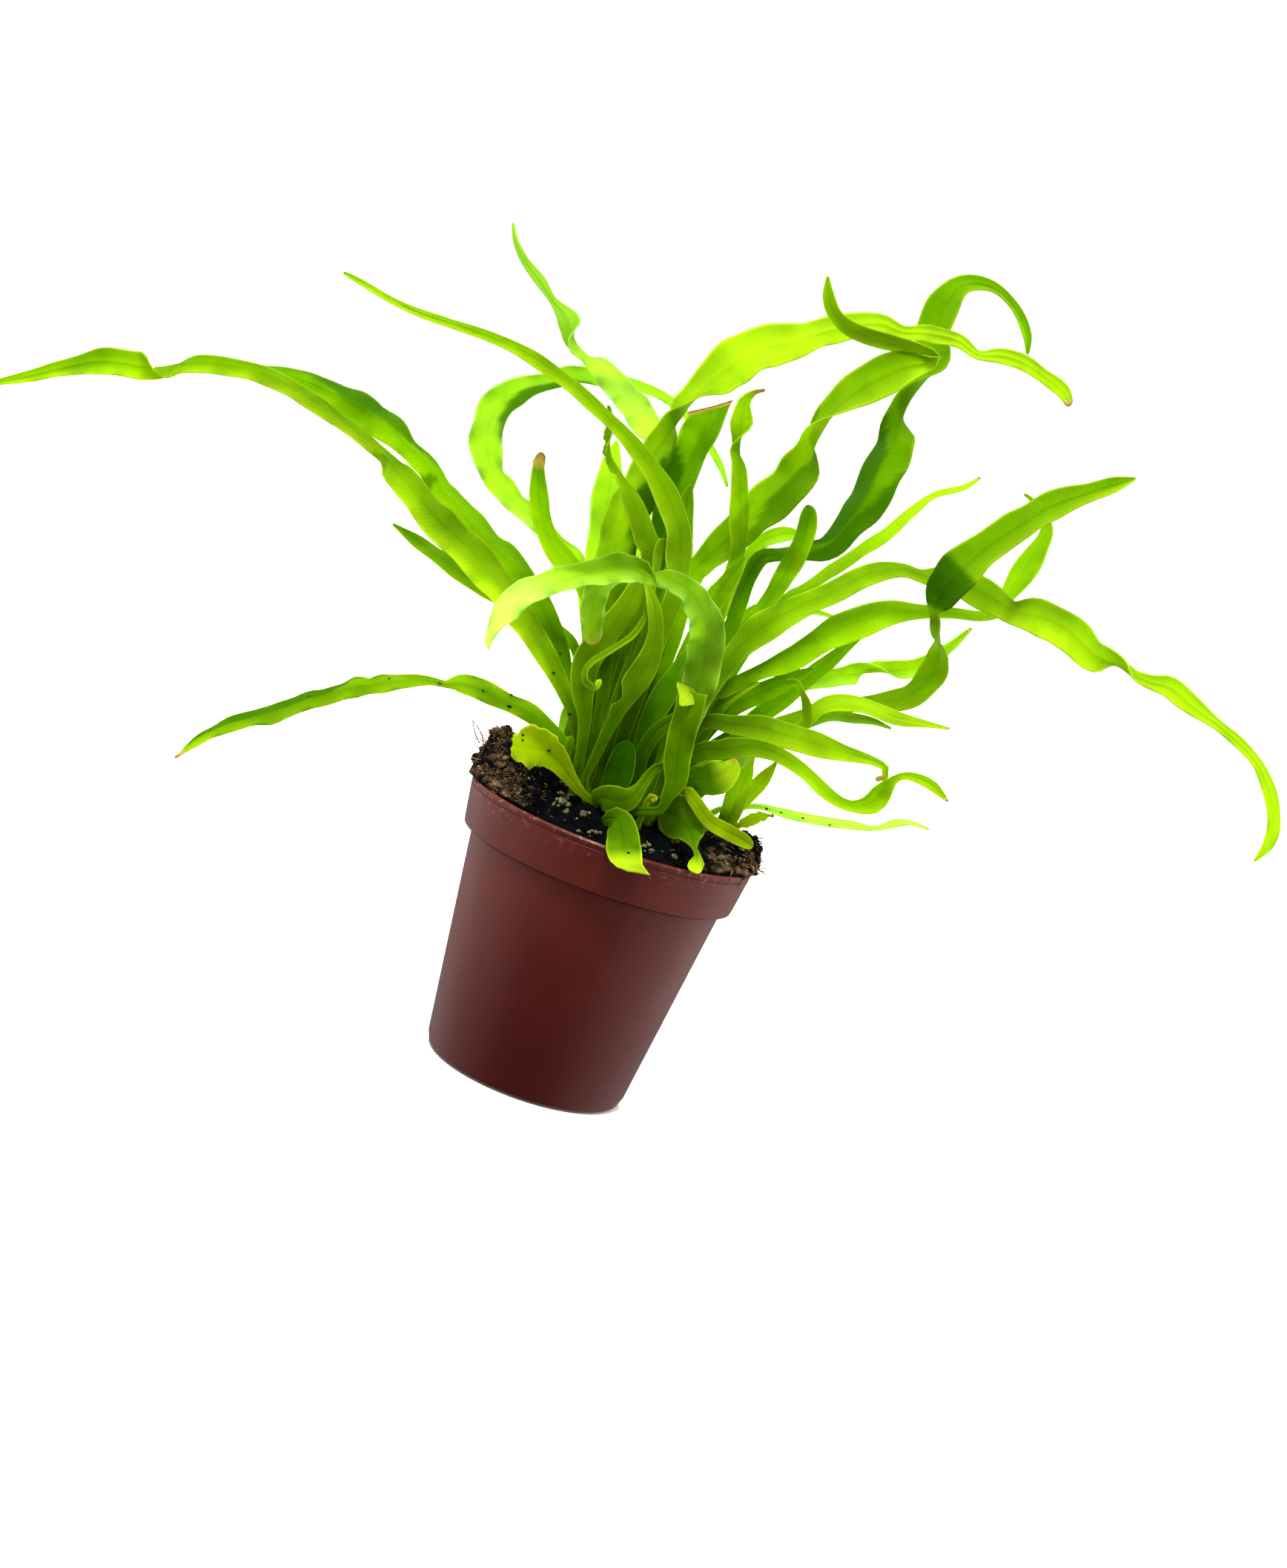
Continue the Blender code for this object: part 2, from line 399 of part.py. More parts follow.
def soil_top(x, y):
    crumbs = CRUMB * noise.noise(Vector((x, y, 4.0)) / CRUMB_SIZE)
    lumps = sum(bump(x, y, lump) for lump in (LEFT_LUMP, MIDDLE_LUMP, RIGHT_LUMP))
    crown = CROWN_HEIGHT * math.exp(-((math.dist((x, y), CROWN_CENTRE) / CROWN_REACH) ** 6))
    return SOIL_LEVEL + crumbs + lumps + crown


def overhang(side):
    """How far the soil hangs over the rim here: only by the two lumps."""
    angle = 2 * math.pi * side / SIDES
    most = 0.0
    for lump in (LEFT_LUMP, RIGHT_LUMP):
        away = angle - math.atan2(lump[1], lump[0])
        away = abs(math.remainder(away, 2 * math.pi))
        most = max(most, OVERHANG * (1 - away / OVERHANG_REACH))
    return most


def build_soil():
    """The root ball: rings up the wall, over the rim at the lumps, then in over the top."""
    shape = bmesh.new()
    bottom = FLOOR + GAP
    shelf = BAND_BOTTOM + WALL
    rings = [[shape.verts.new((0, 0, bottom))]]
    walls = (
        (BASE_RADIUS - 0.6 - GAP, bottom), (inner_radius(FLOOR + 1.4) - GAP, FLOOR + 1.6),
        (inner_radius(shelf - 0.01) - GAP, shelf + GAP), (inner_radius(shelf) - GAP, shelf + GAP),
    )
    for radius, height in walls:
        rings.append([shape.verts.new((*spoke(radius, side), height)) for side in range(SIDES)])
    edge, collar = [], []
    brim = inner_radius(POT_HEIGHT - LIP) - GAP - 0.1
    for side in range(SIDES):
        x, y = spoke(brim, side)
        out = overhang(side)
        low = POT_HEIGHT + GAP if out else min(POT_HEIGHT - LIP, soil_top(x, y) - 1.2)
        edge.append(shape.verts.new((x, y, low)))
        reach = spoke(brim + out if out else brim - 0.3, side)
        collar.append(shape.verts.new((*reach, low + 0.4)))
    rings += [edge, collar]
    for share in SOIL_RINGS:
        ring = []
        for side in range(SIDES):
            x, y = spoke((brim + overhang(side)) * share, side)
            ring.append(shape.verts.new((x, y, max(soil_top(x, y), collar[side].co.z + 0.3))))
        rings.append(ring)
    rings.append([shape.verts.new((0, 0, soil_top(0, 0)))])
    for lower, upper in zip(rings, rings[1:]):
        join_rings(shape, lower, upper)
    bmesh.ops.recalc_face_normals(shape, faces=shape.faces)
    bmesh.ops.triangulate(shape, faces=shape.faces)
    return add_object("root_ball", shape, material("peat", "#33241a", 0.95))


def placed(right, up, depth):
    """The point in space that the front view shows at right and up, at this depth."""
    on_plane = AHEAD + Vector((right - AHEAD_RIGHT, 0, 0)) + PLANE_UP * (up - AHEAD_UP)
    return EYE + (on_plane - EYE) * (VIEW_DISTANCE - depth) / VIEW_DISTANCE


def spread(values, share):
    """The value at a share of the way through evenly spaced values."""
    place = share * (len(values) - 1)
    before = min(int(place), len(values) - 2)
    return values[before] + (values[before + 1] - values[before]) * (place - before)


def control_points(frond):
    """(point, width, turn) of the root's two points and of each point of the route."""
    x, y = frond.root
    ground = soil_top(x, y)
    points = [
        (Vector((x, y, ground - ROOT_DEPTH)), ROOT_WIDTH, 0.0),
        (Vector((x, y, ground)), ROOT_WIDTH, 0.0),
    ]
    spans = [math.dist(a[:2], b[:2]) for a, b in zip(frond.route, frond.route[1:])]
    turn = 0.0
    for index, point in enumerate(frond.route):
        right, up, *rest = point
        depth = spread(frond.depths, sum(spans[:index]) / sum(spans))
        width = rest[0] if rest else TIP_WIDTH
        turn = rest[1] if len(rest) > 1 else turn
        near = (VIEW_DISTANCE - depth) / VIEW_DISTANCE
        points.append((placed(right, up, depth), width * near, turn))
    return points


def between(values, share):
    """A Catmull-Rom curve through four values, from the second to the third."""
    first, start, end, last = values
    return 0.5 * (
        2 * start
        + (end - first) * share
        + (2 * first - 5 * start + 4 * end - last) * share**2
        + (3 * start - 3 * end + last - first) * share**3
    )


def stations(frond):
    """Control points with more between them where they are far apart."""
    controls = control_points(frond)
    found = []
    for index, (start, end) in enumerate(zip(controls, controls[1:])):
        before = controls[max(index - 1, 0)]
        after = controls[min(index + 2, len(controls) - 1)]
        count = max(1, round((end[0] - start[0]).length / STEP))
        for step in range(count):
            found.append([between(four, step / count) for four in zip(before, start, end, after)])
    found.append(list(controls[-1]))
    return found


def lean_at(frond, turn, along):
    """How far the face looks up and inwards here: not in the crowded crown, nor where the edge shows."""
    rise = min(max((along - LEAN_START) / (LEAN_FULL - LEAN_START), 0.0), 1.0)
    inwards = 1 if frond.route[-1][0] < CROWN_CENTRE[0] else -1
    return inwards * LEAN * rise * math.cos(turn) ** 2


def blade(frond, rows, grow=0.0, cells=2):
    """An open, triangulated strip along the rows, this many cells wide."""
    shape = bmesh.new()
    bmesh.ops.create_grid(shape, x_segments=cells, y_segments=len(rows) - 1, size=1.0)
    centres = [row[0] for row in rows]
    along = [0.0]
    for start, end in zip(centres, centres[1:]):
        along.append(along[-1] + (end - start).length)
    for vertex in shape.verts:
        across = round(vertex.co.x)
        row = round((vertex.co.y + 1) / 2 * (len(rows) - 1))
        centre, width, turn = rows[row]
        tangent = centres[min(row + 1, len(rows) - 1)] - centres[max(row - 1, 0)]
        tangent.normalize()
        lean = lean_at(frond, math.radians(turn), along[row])
        side = tangent.cross(EYE - centre).normalized()
        side = Quaternion(tangent, math.radians(turn) + lean) @ side
        face = side.cross(tangent)
        half = max(width, TIP_WIDTH) / 2 / math.cos(lean)
        wave = RIPPLE * width * math.sin(2 * math.pi * along[row] / RIPPLE_LENGTH + across)
        lift = abs(across) * (frond.fold * half + wave) if across else 0.0
        vertex.co = centre + side * across * (half + grow) - face * lift
    bmesh.ops.triangulate(shape, faces=shape.faces, quad_method="FIXED")
    return shape


def solidify(target, thickness):
    solid = target.modifiers.new("thickness", "SOLIDIFY")
    solid.thickness = thickness * MM
    solid.offset = 0.0


def build_frond(frond, holes):
    rows = stations(frond)
    made = add_object(frond.name, blade(frond, rows), material(frond.name, frond.colour, 0.4))
    made.data.shade_smooth()
    solidify(made, THICKNESS)
    root_count = sum((row[0] - rows[0][0]).length < HOLE_REACH for row in rows)
    root_rows = rows[: root_count + 1]
    root_rows[0][0] = root_rows[0][0] - Vector((0, 0, GAP))
    hole = add_object(
        f"{frond.name}_hole", blade(frond, root_rows, GAP, 1), made.data.materials[0], holes
    )
    solidify(hole, THICKNESS + 3 * GAP)
    hide_cutter(hole)


def main():
    clear_scene()
    build_pot()
    soil = build_soil()
    holes = bpy.data.collections.new("holes")
    bpy.context.scene.collection.children.link(holes)
    for frond in FRONDS:
        build_frond(frond, holes)
    cut(soil, "frond_holes", operand_type="COLLECTION", collection=holes)


main()
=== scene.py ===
"""A young Japanese bird's nest fern in its brown nursery pot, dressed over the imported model.

The plant is a rosette of long strap-shaped fronds that wave and twist, thin enough for light to
come through. It stands in damp peat in a small thin-walled pot. Every piece is in metres in the
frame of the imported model: the origin is the centre of the pot's underside, and +Z is up.
"""

import logging
import math
import random
from dataclasses import dataclass
from enum import Enum

import bmesh
import bpy
from mathutils import Matrix, Quaternion, Vector, noise


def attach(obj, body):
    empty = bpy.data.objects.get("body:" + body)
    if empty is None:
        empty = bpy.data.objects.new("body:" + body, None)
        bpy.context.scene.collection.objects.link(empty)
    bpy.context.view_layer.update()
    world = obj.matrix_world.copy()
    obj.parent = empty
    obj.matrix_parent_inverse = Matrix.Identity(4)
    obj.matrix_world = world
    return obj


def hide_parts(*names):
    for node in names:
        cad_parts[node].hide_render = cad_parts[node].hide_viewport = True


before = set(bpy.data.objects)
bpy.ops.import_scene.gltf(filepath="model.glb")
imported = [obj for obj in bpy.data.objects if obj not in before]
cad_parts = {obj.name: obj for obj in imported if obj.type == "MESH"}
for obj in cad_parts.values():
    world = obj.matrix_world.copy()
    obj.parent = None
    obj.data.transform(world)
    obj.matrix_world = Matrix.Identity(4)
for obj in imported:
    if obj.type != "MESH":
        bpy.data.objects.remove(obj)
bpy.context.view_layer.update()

log = logging.getLogger("fern")
MM = 0.001
BODY = "root"
BLADE_MAP = "blade"
MAP_LENGTH = 10.0  # millimetres of blade to one unit of its map
DRY_LAYER = "dry"
PALE_LAYER = "pale"
SHADE_LAYER = "shaded"

# Settings that many nodes share
EASED = {"interpolation_type": "SMOOTHSTEP"}
SCALED_SUM = {"operation": "MULTIPLY_ADD"}
CLAMPED_SUM = {"operation": "MULTIPLY_ADD", "use_clamp": True}
PRODUCT = {"operation": "MULTIPLY"}
SIZE_ONLY = {"operation": "ABSOLUTE"}
COLOURS = {"data_type": "RGBA"}


class LeafKind(Enum):
    """The record's material slots for living blades."""

    LIME = "leaf_lime"
    DEEP = "leaf_deep"
    INNER = "leaf_inner"
    PALE = "leaf_pale"
    YELLOW = "leaf_yellow"


LIME, DEEP, INNER, PALE, YELLOW = LeafKind


@dataclass(frozen=True)
class FrontView:
    """The view in which the fronds' routes are drawn, in millimetres.

    right and up are measured in an upright plane through the pot's axis, and depth is the distance
    from that plane towards the viewer. The viewer looks at the point ahead, which the view has at
    ahead_right and ahead_up. lens and sensor are the camera's.
    """

    distance: float = 418.4
    elevation: float = math.radians(8.4)
    roll: float = math.radians(20.0)
    ahead: Vector = Vector((3.1, 0.0, 64.1))
    ahead_right: float = 3.1
    ahead_up: float = 65.2
    lens: float = 47.9
    sensor: float = 36.0

    @property
    def sight(self) -> Vector:
        """The direction from the viewer to the plant."""
        return Vector((0.0, math.cos(self.elevation), -math.sin(self.elevation)))

    @property
    def plane_up(self) -> Vector:
        """The upward direction of the plane that faces the viewer."""
        return Vector((0.0, math.sin(self.elevation), math.cos(self.elevation)))

    @property
    def eye(self) -> Vector:
        """Where the viewer stands."""
        return self.ahead - self.sight * self.distance

    def placed(self, right: float, up: float, depth: float) -> Vector:
        """Finds the point that the view shows at right and up.

        Args:
            right: Millimetres to the right of the pot's axis.
            up: Millimetres above the pot's underside.
            depth: Millimetres in front of the upright plane.

        Returns:
            The point in millimetres.
        """
        on_plane = self.ahead + Vector((right - self.ahead_right, 0, 0))
        on_plane += self.plane_up * (up - self.ahead_up)
        return self.eye + (on_plane - self.eye) * (self.distance - depth) / self.distance


VIEW = FrontView()


@dataclass(frozen=True)
class Frond:
    """The route of one blade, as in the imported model.

    root is where it leaves the peat. depths are spread evenly from the first point of the route to
    its tip. A point of the route is right, up, width and, where it changes, the turn of the blade
    about its midrib in degrees. The last point may leave out the width. fold is how far the margins
    stand back from the midrib, as a share of half the width.
    """

    name: str
    kind: LeafKind
    root: tuple
    depths: tuple
    route: tuple
    fold: float = 0.16


@dataclass(frozen=True)
class Dress:
    """What one blade shows beyond its route, in millimetres.

    dry is the length that has dried at the tip, and dead how far it has gone from straw, at 0.3, to
    dark brown, at 1. pale is the length painted paler towards the tip, and fade how far: tissue gone
    pale, and on the shortest lengths, under 8 mm, a painted highlight. ruffle is the height of the
    margins' waves as a share of the width, and wave is their length. ragged is how deep the margins
    are torn over the last torn millimetres. slant is how far the left margin runs past the right one
    at the tip, and blunt tells that the tip doesn't taper. trims are (share of the way, left, right)
    multiples of the two halves of the blade. shaded_stretches are the stretches painted darker as
    painted shade, where the blade is folded over on itself or crosses another blade, each with its
    start and end as shares of the way, its half (-1 left, 1 right, 0 both), how far it goes and,
    where its ends are sharp, over what share of the way they fade.
    """

    dry: float = 0.0
    dead: float = 0.8
    pale: float = 0.0
    fade: float = 1.0
    ruffle: float = 0.03
    wave: float = 7.0
    ragged: float = 0.0
    torn: float = 6.0
    slant: float = 0.0
    blunt: bool = False
    trims: tuple = ()
    shaded_stretches: tuple = ()


FRONDS = (
    Frond("left_long", LIME, (-8.5, -4.5), (3.3, -8, -15), (
        (-13, 71, 2.5), (-18, 77, 3), (-25, 83.5, 4.5), (-35, 91, 6), (-45, 97, 7),
        (-55, 101.5, 6.5), (-62, 105.8, 5.6), (-65.6, 107.5, 5), (-67.6, 109, 2.9),
        (-75, 111.7, 2.8), (-85, 114.5, 3.3), (-95, 116.3, 3.5), (-105, 115.3, 3.5),
        (-112, 113, 3.8, 20), (-116, 111, 4.5, 90), (-120, 109.5, 5, 160), (-128, 107.5, 5, 180),
        (-135, 103.5, 3), (-142, 99, 2), (-149, 95))),
    Frond("left_folded", DEEP, (-9.5, -1.5), (0.8, -12, -20), (
        (-13, 71.5, 2.5), (-18, 78.5, 3), (-23, 86, 4.5), (-29, 92.5, 5), (-36, 97.5, 6),
        (-44, 101, 6.5), (-51, 105, 5.6), (-55.2, 107, 5.6), (-57.6, 109.4, 4.3),
        (-61.5, 111.6, 4.4), (-65, 113.2, 4.2), (-70, 115.7, 6.2), (-78, 117.2, 6.7), (-86, 118, 5),
        (-93, 118, 3), (-98, 117.5)), 0.45),
    Frond("left_low", LIME, (-10.5, -8), (7.5, 12, 15), (
        (-11.5, 64.5, 2), (-14, 66.5, 3), (-18, 69, 2.8), (-23, 70.8, 3.9), (-28, 71.3, 3.6),
        (-33, 71.9, 4.3), (-37.5, 71.9, 4.1), (-39.6, 71.3, 2.6), (-41, 70.5, 1.4),
        (-43.5, 70.2, 1.6), (-47, 69.2, 2.4), (-50.5, 67.8, 3.1), (-53, 66.6, 3.9),
        (-55.3, 65, 2.8), (-57.8, 64.2, 4), (-60.5, 61.9, 4), (-63, 59.9, 3.3), (-66, 58.2, 3.8),
        (-70, 54.6, 4.2), (-76, 50.4, 4), (-82, 45.5, 3.2), (-87, 38)), 0.35),
    Frond("left_small", DEEP, (-8, 5), (-6, -12, -28), (
        (-12.5, 76, 2), (-19, 86, 2), (-24, 88.5, 2.5), (-32, 91, 3), (-38, 91, 3.3),
        (-44, 92, 3.3), (-50, 93.8, 3), (-56, 95.5, 2.5), (-62, 97))),
    Frond("left_hooked", PALE, (-10, 12.5), (-14, -25, -40, -43, -45), (
        (-14, 80, 2.5), (-23, 101, 3), (-30, 105, 3), (-36, 108, 4), (-42, 110.5, 4.5),
        (-47, 114, 5), (-50, 119.5, 6.5), (-50.5, 125, 6.5), (-48, 130, 5.5), (-43, 134, 3.5),
        (-38, 137.5, 3.5), (-31, 139, 3), (-24, 139.8, 2), (-16, 138.5, 1.6), (-6, 132, 1.4),
        (-1.5, 127))),
    Frond("upper_left_thin", LIME, (-3, -6.5), (5.5, 8, 11, 15, 18), (
        (-4, 70, 2.4), (-4, 90, 3.4), (-4, 105, 4), (-5.5, 110, 5), (-7.5, 115.5, 5), (-11, 120, 5),
        (-15.5, 124, 4.2), (-20, 127.3, 3.5), (-25, 130, 2.8), (-30, 132.3, 2.6), (-38, 135.5, 2.7),
        (-47, 138, 2.6), (-55, 139, 2), (-65, 138.8, 1.7), (-75, 138.8, 1.3), (-85, 140.5, 1),
        (-88.5, 141))),
    Frond("top_left_pale", PALE, (-5, 15.5), (-18.5, -26, -36, -40), (
        (-12, 85, 2.5), (-15.5, 112, 4), (-17, 129, 5), (-21, 133.5, 5.5), (-27, 137.5, 5.5),
        (-34, 141, 4), (-39.5, 143.5, 3.5, 90), (-43, 147.5, 4, 170), (-47, 150, 1.4),
        (-51, 153, 2), (-55, 155.5, 1.5), (-58, 158.5, 1), (-60, 162))),
    Frond("top_arching", LIME, (-7, 7.5), (-8.5, -8.5, -8, -8, -8), (
        (-12.5, 80, 5), (-17, 101, 7), (-18.5, 108, 8), (-19, 115, 8), (-18, 122, 8),
        (-17.5, 128, 6.5), (-15.8, 134, 5, 50), (-14.8, 137, 5.5, 90), (-13.5, 141.5, 6.5, 140),
        (-11, 146.5, 8, 180), (-7.5, 152, 9), (-3.5, 156, 8.5), (1, 158.5, 7), (6, 162.5, 5.5),
        (11, 165.5, 5), (16, 168, 4), (21, 168, 2.4), (26, 169.5, 3.5), (32, 170.2, 2.5),
        (36.8, 168.9, 1.8), (41, 170.3, 2.8), (46, 170.5, 3), (51, 169.3, 2.6), (55, 168, 2.6),
        (57.5, 165.7, 1.4))),
    Frond("centre_cut", DEEP, (-5, 2.5), (-3.5, -4), (
        (-8, 80, 5), (-9.5, 98, 6), (-10, 112, 5), (-10.8, 118, 6), (-10.8, 125, 6.5),
        (-10.2, 131, 7.5), (-9.9, 136, 7.6), (-9.8, 141.2, 7.6))),
    Frond("centre_shredded", LIME, (-4.5, -3), (1.8, 1.6, 3), (
        (-8, 82, 4), (-10.5, 107, 4), (-13.5, 112, 4.5), (-17.5, 117, 4), (-21.5, 121.5, 3, 50),
        (-25.5, 125, 2.4, 90), (-27.5, 129.5, 1.8, 140), (-28, 132, 1.2), (-29.5, 134))),
    Frond("centre_twisted", LIME, (2.5, 2), (-3, -1.5, 1.5), (
        (3.5, 80, 4), (5, 100, 3.5), (5.5, 111, 3), (5, 115.5, 3), (3.5, 120.5, 3.8),
        (1.6, 126, 3.5), (-0.3, 131, 3), (-1.9, 135.5, 3.2, 90), (-2.3, 137.5, 3.4, 120),
        (-3.6, 141, 4.3, 180), (-4.2, 144, 2.5), (-3, 146.5, 1), (-1, 147.8))),
    Frond("top_folded_back", LIME, (-1.5, 5), (-6, -6, -4, 0, 4, 5, 5), (
        (-2, 85, 5), (-2.5, 106, 4.5), (-1, 111, 5), (2, 117, 6.5), (6, 125, 8), (10, 133, 8.5),
        (12, 139, 6, 50), (12.5, 143, 6, 90), (14, 149, 7, 140), (18, 155.5, 8, 180),
        (23, 160.8, 7), (27, 163.6, 3.5, 200), (28.8, 165.6, 2.5, 270), (26, 165.6, 2.8, 340),
        (20, 165.2, 3.3, 360), (12, 164.9, 3), (7.5, 166.3, 2.8), (4.6, 169.5, 2.3), (3, 173.5))),
    Frond("top_hooked", DEEP, (6.5, 7.5), (-8.5, -12, -18, -20, -24), (
        (8.5, 80, 4), (9, 95, 3.6), (8.7, 103, 3), (8.5, 110, 3), (9.5, 116, 3), (13, 118, 2.5),
        (18, 120.5, 3.5), (21.5, 123, 5), (24, 129, 6), (25.5, 135, 8), (26, 141, 8),
        (26.5, 147, 7.5), (26.7, 152, 5.5, 50), (27.2, 156.3, 4.5, 90), (28.5, 160.5, 5, 140),
        (29.3, 165, 6, 180), (27.4, 170, 7), (27.2, 175, 6.5), (28.5, 180, 4.5), (31.5, 182.3, 2.8),
        (36, 182.5, 1.8), (41, 180, 1.7), (44.5, 176, 1.6), (46, 172.5)), 0.35),
    Frond("right_thin", DEEP, (8, 10), (-11.5, -20, -35, -45), (
        (11, 85, 1.8), (14, 100, 1.8), (17, 109.5, 1.8), (20, 113, 2), (24, 118.5, 2.4),
        (28, 124, 2.4), (32, 129.5, 2.4), (35, 135, 1.8), (38, 139.5, 1.2), (43, 143, 1),
        (45.5, 146))),
    Frond("right_upright", LIME, (5.5, -1.5), (0.5, -2, -4, -5, -6, 5.5, 7, 7, 8), (
        (8, 70, 2), (18, 80, 3), (28, 88.5, 3), (35, 93.5, 3), (40, 96, 3), (44, 98, 4),
        (47.5, 100.5, 5), (49.5, 104.5, 5.5), (50.3, 109, 4.6, 40), (49.2, 112.5, 3.8, 90),
        (47.8, 115.2, 3, 130), (46.5, 117.3, 2.2, 160), (46, 119, 3.8, 180), (46.2, 121.2, 7),
        (47.2, 124.6, 8), (49.5, 129.3, 7.8), (52.5, 134.5, 6.5), (57, 140.5, 6), (61.5, 146, 5.5),
        (66.5, 150, 4), (71, 153.6, 3), (74.9, 156.5))),
    Frond("right_ruffled", LIME, (4.5, -8), (6, 3, 0, -1.5, -1, 0), (
        (7, 75, 2.5), (9.5, 88, 3), (10.5, 94, 4), (13, 100, 5.5), (17, 106, 6), (22, 111, 4.5),
        (26.5, 115.5, 4.5), (32, 121, 4), (37, 123.3, 2.8), (41, 123.5, 2.4), (45, 124.5, 4.5),
        (50, 125, 6), (57, 124, 5.5), (61, 123, 4.8), (66, 124, 7), (72, 123.5, 7.5),
        (79, 120.5, 6), (83, 120, 4, 50), (85.5, 119.7, 3.5, 90), (88, 118.9, 3, 140),
        (92, 119, 2.8, 180), (96, 119.3, 4.5), (101, 117.5, 3.5), (107, 115.7, 2.2),
        (113, 113.5, 2), (118, 110.5, 2.2), (122, 106, 2.6), (124.5, 101, 2.6), (125, 97, 2.2),
        (123.5, 92.5))),
    Frond("right_twisted", DEEP, (5.5, -5), (2.5, 0, -3, -6, -10, -15), (
        (9, 84, 2), (12, 88.5, 3), (17, 94, 3), (21.5, 98, 4.5), (25, 102.5, 5), (29, 107.5, 6),
        (33.5, 111.5, 6.5), (38.5, 115, 4.5), (44, 117, 2.8), (50, 118.8, 2), (55, 120, 2),
        (58, 121.8, 1.8), (58.7, 126, 3), (60, 131, 5), (61, 136, 3.8), (61.5, 141, 2.5),
        (58, 144.7, 1), (55, 146))),
    Frond("right_straight", DEEP, (8, 3), (-4, -8), (
        (10, 72, 2), (17, 81, 3), (21, 87, 3.5), (24, 91.5, 3.5), (26.5, 96, 3.3), (29.5, 101, 3),
        (32.5, 106, 1.8), (35, 109.8))),
    Frond("right_pale", PALE, (10, 12), (-13.5, -22, -30), (
        (14, 76, 2), (20, 87, 2.3), (25, 93.5, 2.5), (29, 97, 3.5), (34, 99.8, 4),
        (38.5, 101.8, 4, 90), (43, 103.7, 4.5, 170), (47.5, 106.5, 3.5), (51, 111, 2.5),
        (54.2, 117))),
    Frond("right_small", LIME, (7.5, -6), (4.5, 5, 6), (
        (14, 73, 1.6), (23, 81.5, 1.6), (29.3, 87.5, 2), (30.5, 91, 3), (33.5, 93.7, 3.3),
        (39, 95.2, 3), (46, 95, 2.8), (52, 95.9, 1.4), (57, 96.6))),
    Frond("right_curled", LIME, (6, -9), (8.5, 11, 15, 18), (
        (7.5, 70, 2), (10, 80.5, 2.5), (16, 82.5, 4), (22, 84, 5), (28, 84.3, 5.3), (34, 84.7, 4.6),
        (40, 85, 3), (45, 85.3, 1.6), (47.6, 84.8, 1.4), (48.2, 83.2, 1.2), (46.5, 82, 1))),
    Frond("right_low_twisted", LIME, (9.2, -10.8), (10.5, 14, 20, 26, 30), (
        (10.5, 73.5, 3), (15, 76.8, 4), (20, 79.2, 4), (26, 80, 3.2), (32, 78.8, 2.8),
        (37.5, 76.4, 2.6), (41.5, 75.3, 2.2), (44.6, 75.6, 2.6), (47.4, 77.3, 4.3),
        (48.7, 80.2, 3.6), (50, 83.2, 1.7), (52, 84.8, 1.5), (55, 85.1, 1.9), (58, 84.6, 1.9),
        (61.7, 82.8))),
    Frond("right_low_pale", PALE, (16, 3), (-3, 0, 5), (
        (19, 65.5, 1.2), (24, 67.9, 1), (27, 69, 1.2), (32, 69.4, 1.9), (39, 70.4, 2),
        (45.5, 71.8, 1.8), (49.8, 72.7, 1), (53, 74.9, 1.7), (56, 76.2, 1), (60, 76.2))),
    Frond("right_ragged", YELLOW, (18.5, 5), (-6, -7), (
        (22, 63, 1.4), (23.8, 64, 1.5), (26, 66, 2.5), (28, 67.4, 1.8), (29.8, 68.2))),
    Frond("rim_tongue", LIME, (-1.5, -16.5), (16.5, 19.5, 27, 31.5, 33), (
        (-2.2, 55.2, 1.6), (-1.1, 56.2, 2.8), (0.1, 56.8, 4.4), (1.3, 56.2, 5.6), (2.5, 54.5, 6.4),
        (3.8, 51.7, 7.1), (5.1, 49.4, 6.9), (6.1, 47.7, 6.4))),
    Frond("hood", LIME, (-3.2, -12.5), (13.5, 17.5, 19.5, 18.5, 16.5, 15), (
        (-4, 57.8, 1.6), (-4.3, 59.4, 4), (-2.8, 60, 5.4), (-0.5, 60.4, 5.6), (1.5, 61.6, 4.4),
        (2.7, 64.2, 2.4), (3.3, 66.6, 2), (4.3, 69, 1.8), (5.8, 70, 1.2))),
    Frond("right_pleated", LIME, (5.6, -15.4), (15, 16, 24.5), (
        (7, 61.5, 3.5), (9.5, 61.8, 8), (12.3, 61.2, 9), (14.8, 59.8, 7.4), (16.3, 57.8, 2.6),
        (17.3, 56.4, 0.9), (18.1, 55.5, 1.2), (18.5, 54.2, 3.2), (18.5, 52.8, 3.2),
        (18.5, 52, 2.2))),
    Frond("right_short_low", YELLOW, (12.5, -13.5), (13.3, 13.5, 15, 18, 18, 17, 15.5, 14), (
        (12.5, 60, 1.8), (11.2, 66.8, 1.8), (13.5, 65.8, 2.6), (18, 62.8, 3), (22, 62, 3.2),
        (26, 61.4, 2.8), (28, 60.7, 1.4))),
    Frond("front_tall", LIME, (2.2, -16), (17.4, 19, 19, 19, 20), (
        (3.5, 59.5, 1.6), (8, 61.5, 1.6), (8.4, 64.5, 2.5), (9, 68, 4.5), (7.8, 72, 5.5),
        (6.9, 77, 5.7), (6.6, 82, 5.8), (6, 85.9, 5.9))),
    Frond("soil_lobed", YELLOW, (-3.5, -14.5), (14, 14, 14), (
        (-5, 58.3, 1.2), (-8, 59.4, 1.8), (-11.5, 61.5, 3), (-14.5, 63.6, 4.8), (-17.5, 64.7, 7.2),
        (-20.5, 64.5, 8.6), (-22.8, 63.8, 7), (-24.4, 63.4, 4))),
    Frond("near_arching", PALE, (6.6, -13.2), (14, 15, 32, 46, 56, 60), (
        (7.2, 78, 5), (6.9, 86, 6.8), (6.3, 92.5, 7.4), (4.7, 98.3, 7.2), (2, 102.2, 6),
        (-2, 104.9, 4.7), (-6, 105.6, 3.8), (-9.5, 105.2, 3.4, 90), (-13, 105.1, 4.8, 165),
        (-17, 103.6, 6, 180), (-21, 101.2, 5.2, 180), (-25, 98.9, 4.7, 180), (-29, 96, 5, 180),
        (-32.6, 92.4, 5.4), (-34.6, 88.5, 5), (-35.6, 84.5, 2.9), (-35.9, 82, 1.8), (-35.4, 80))),
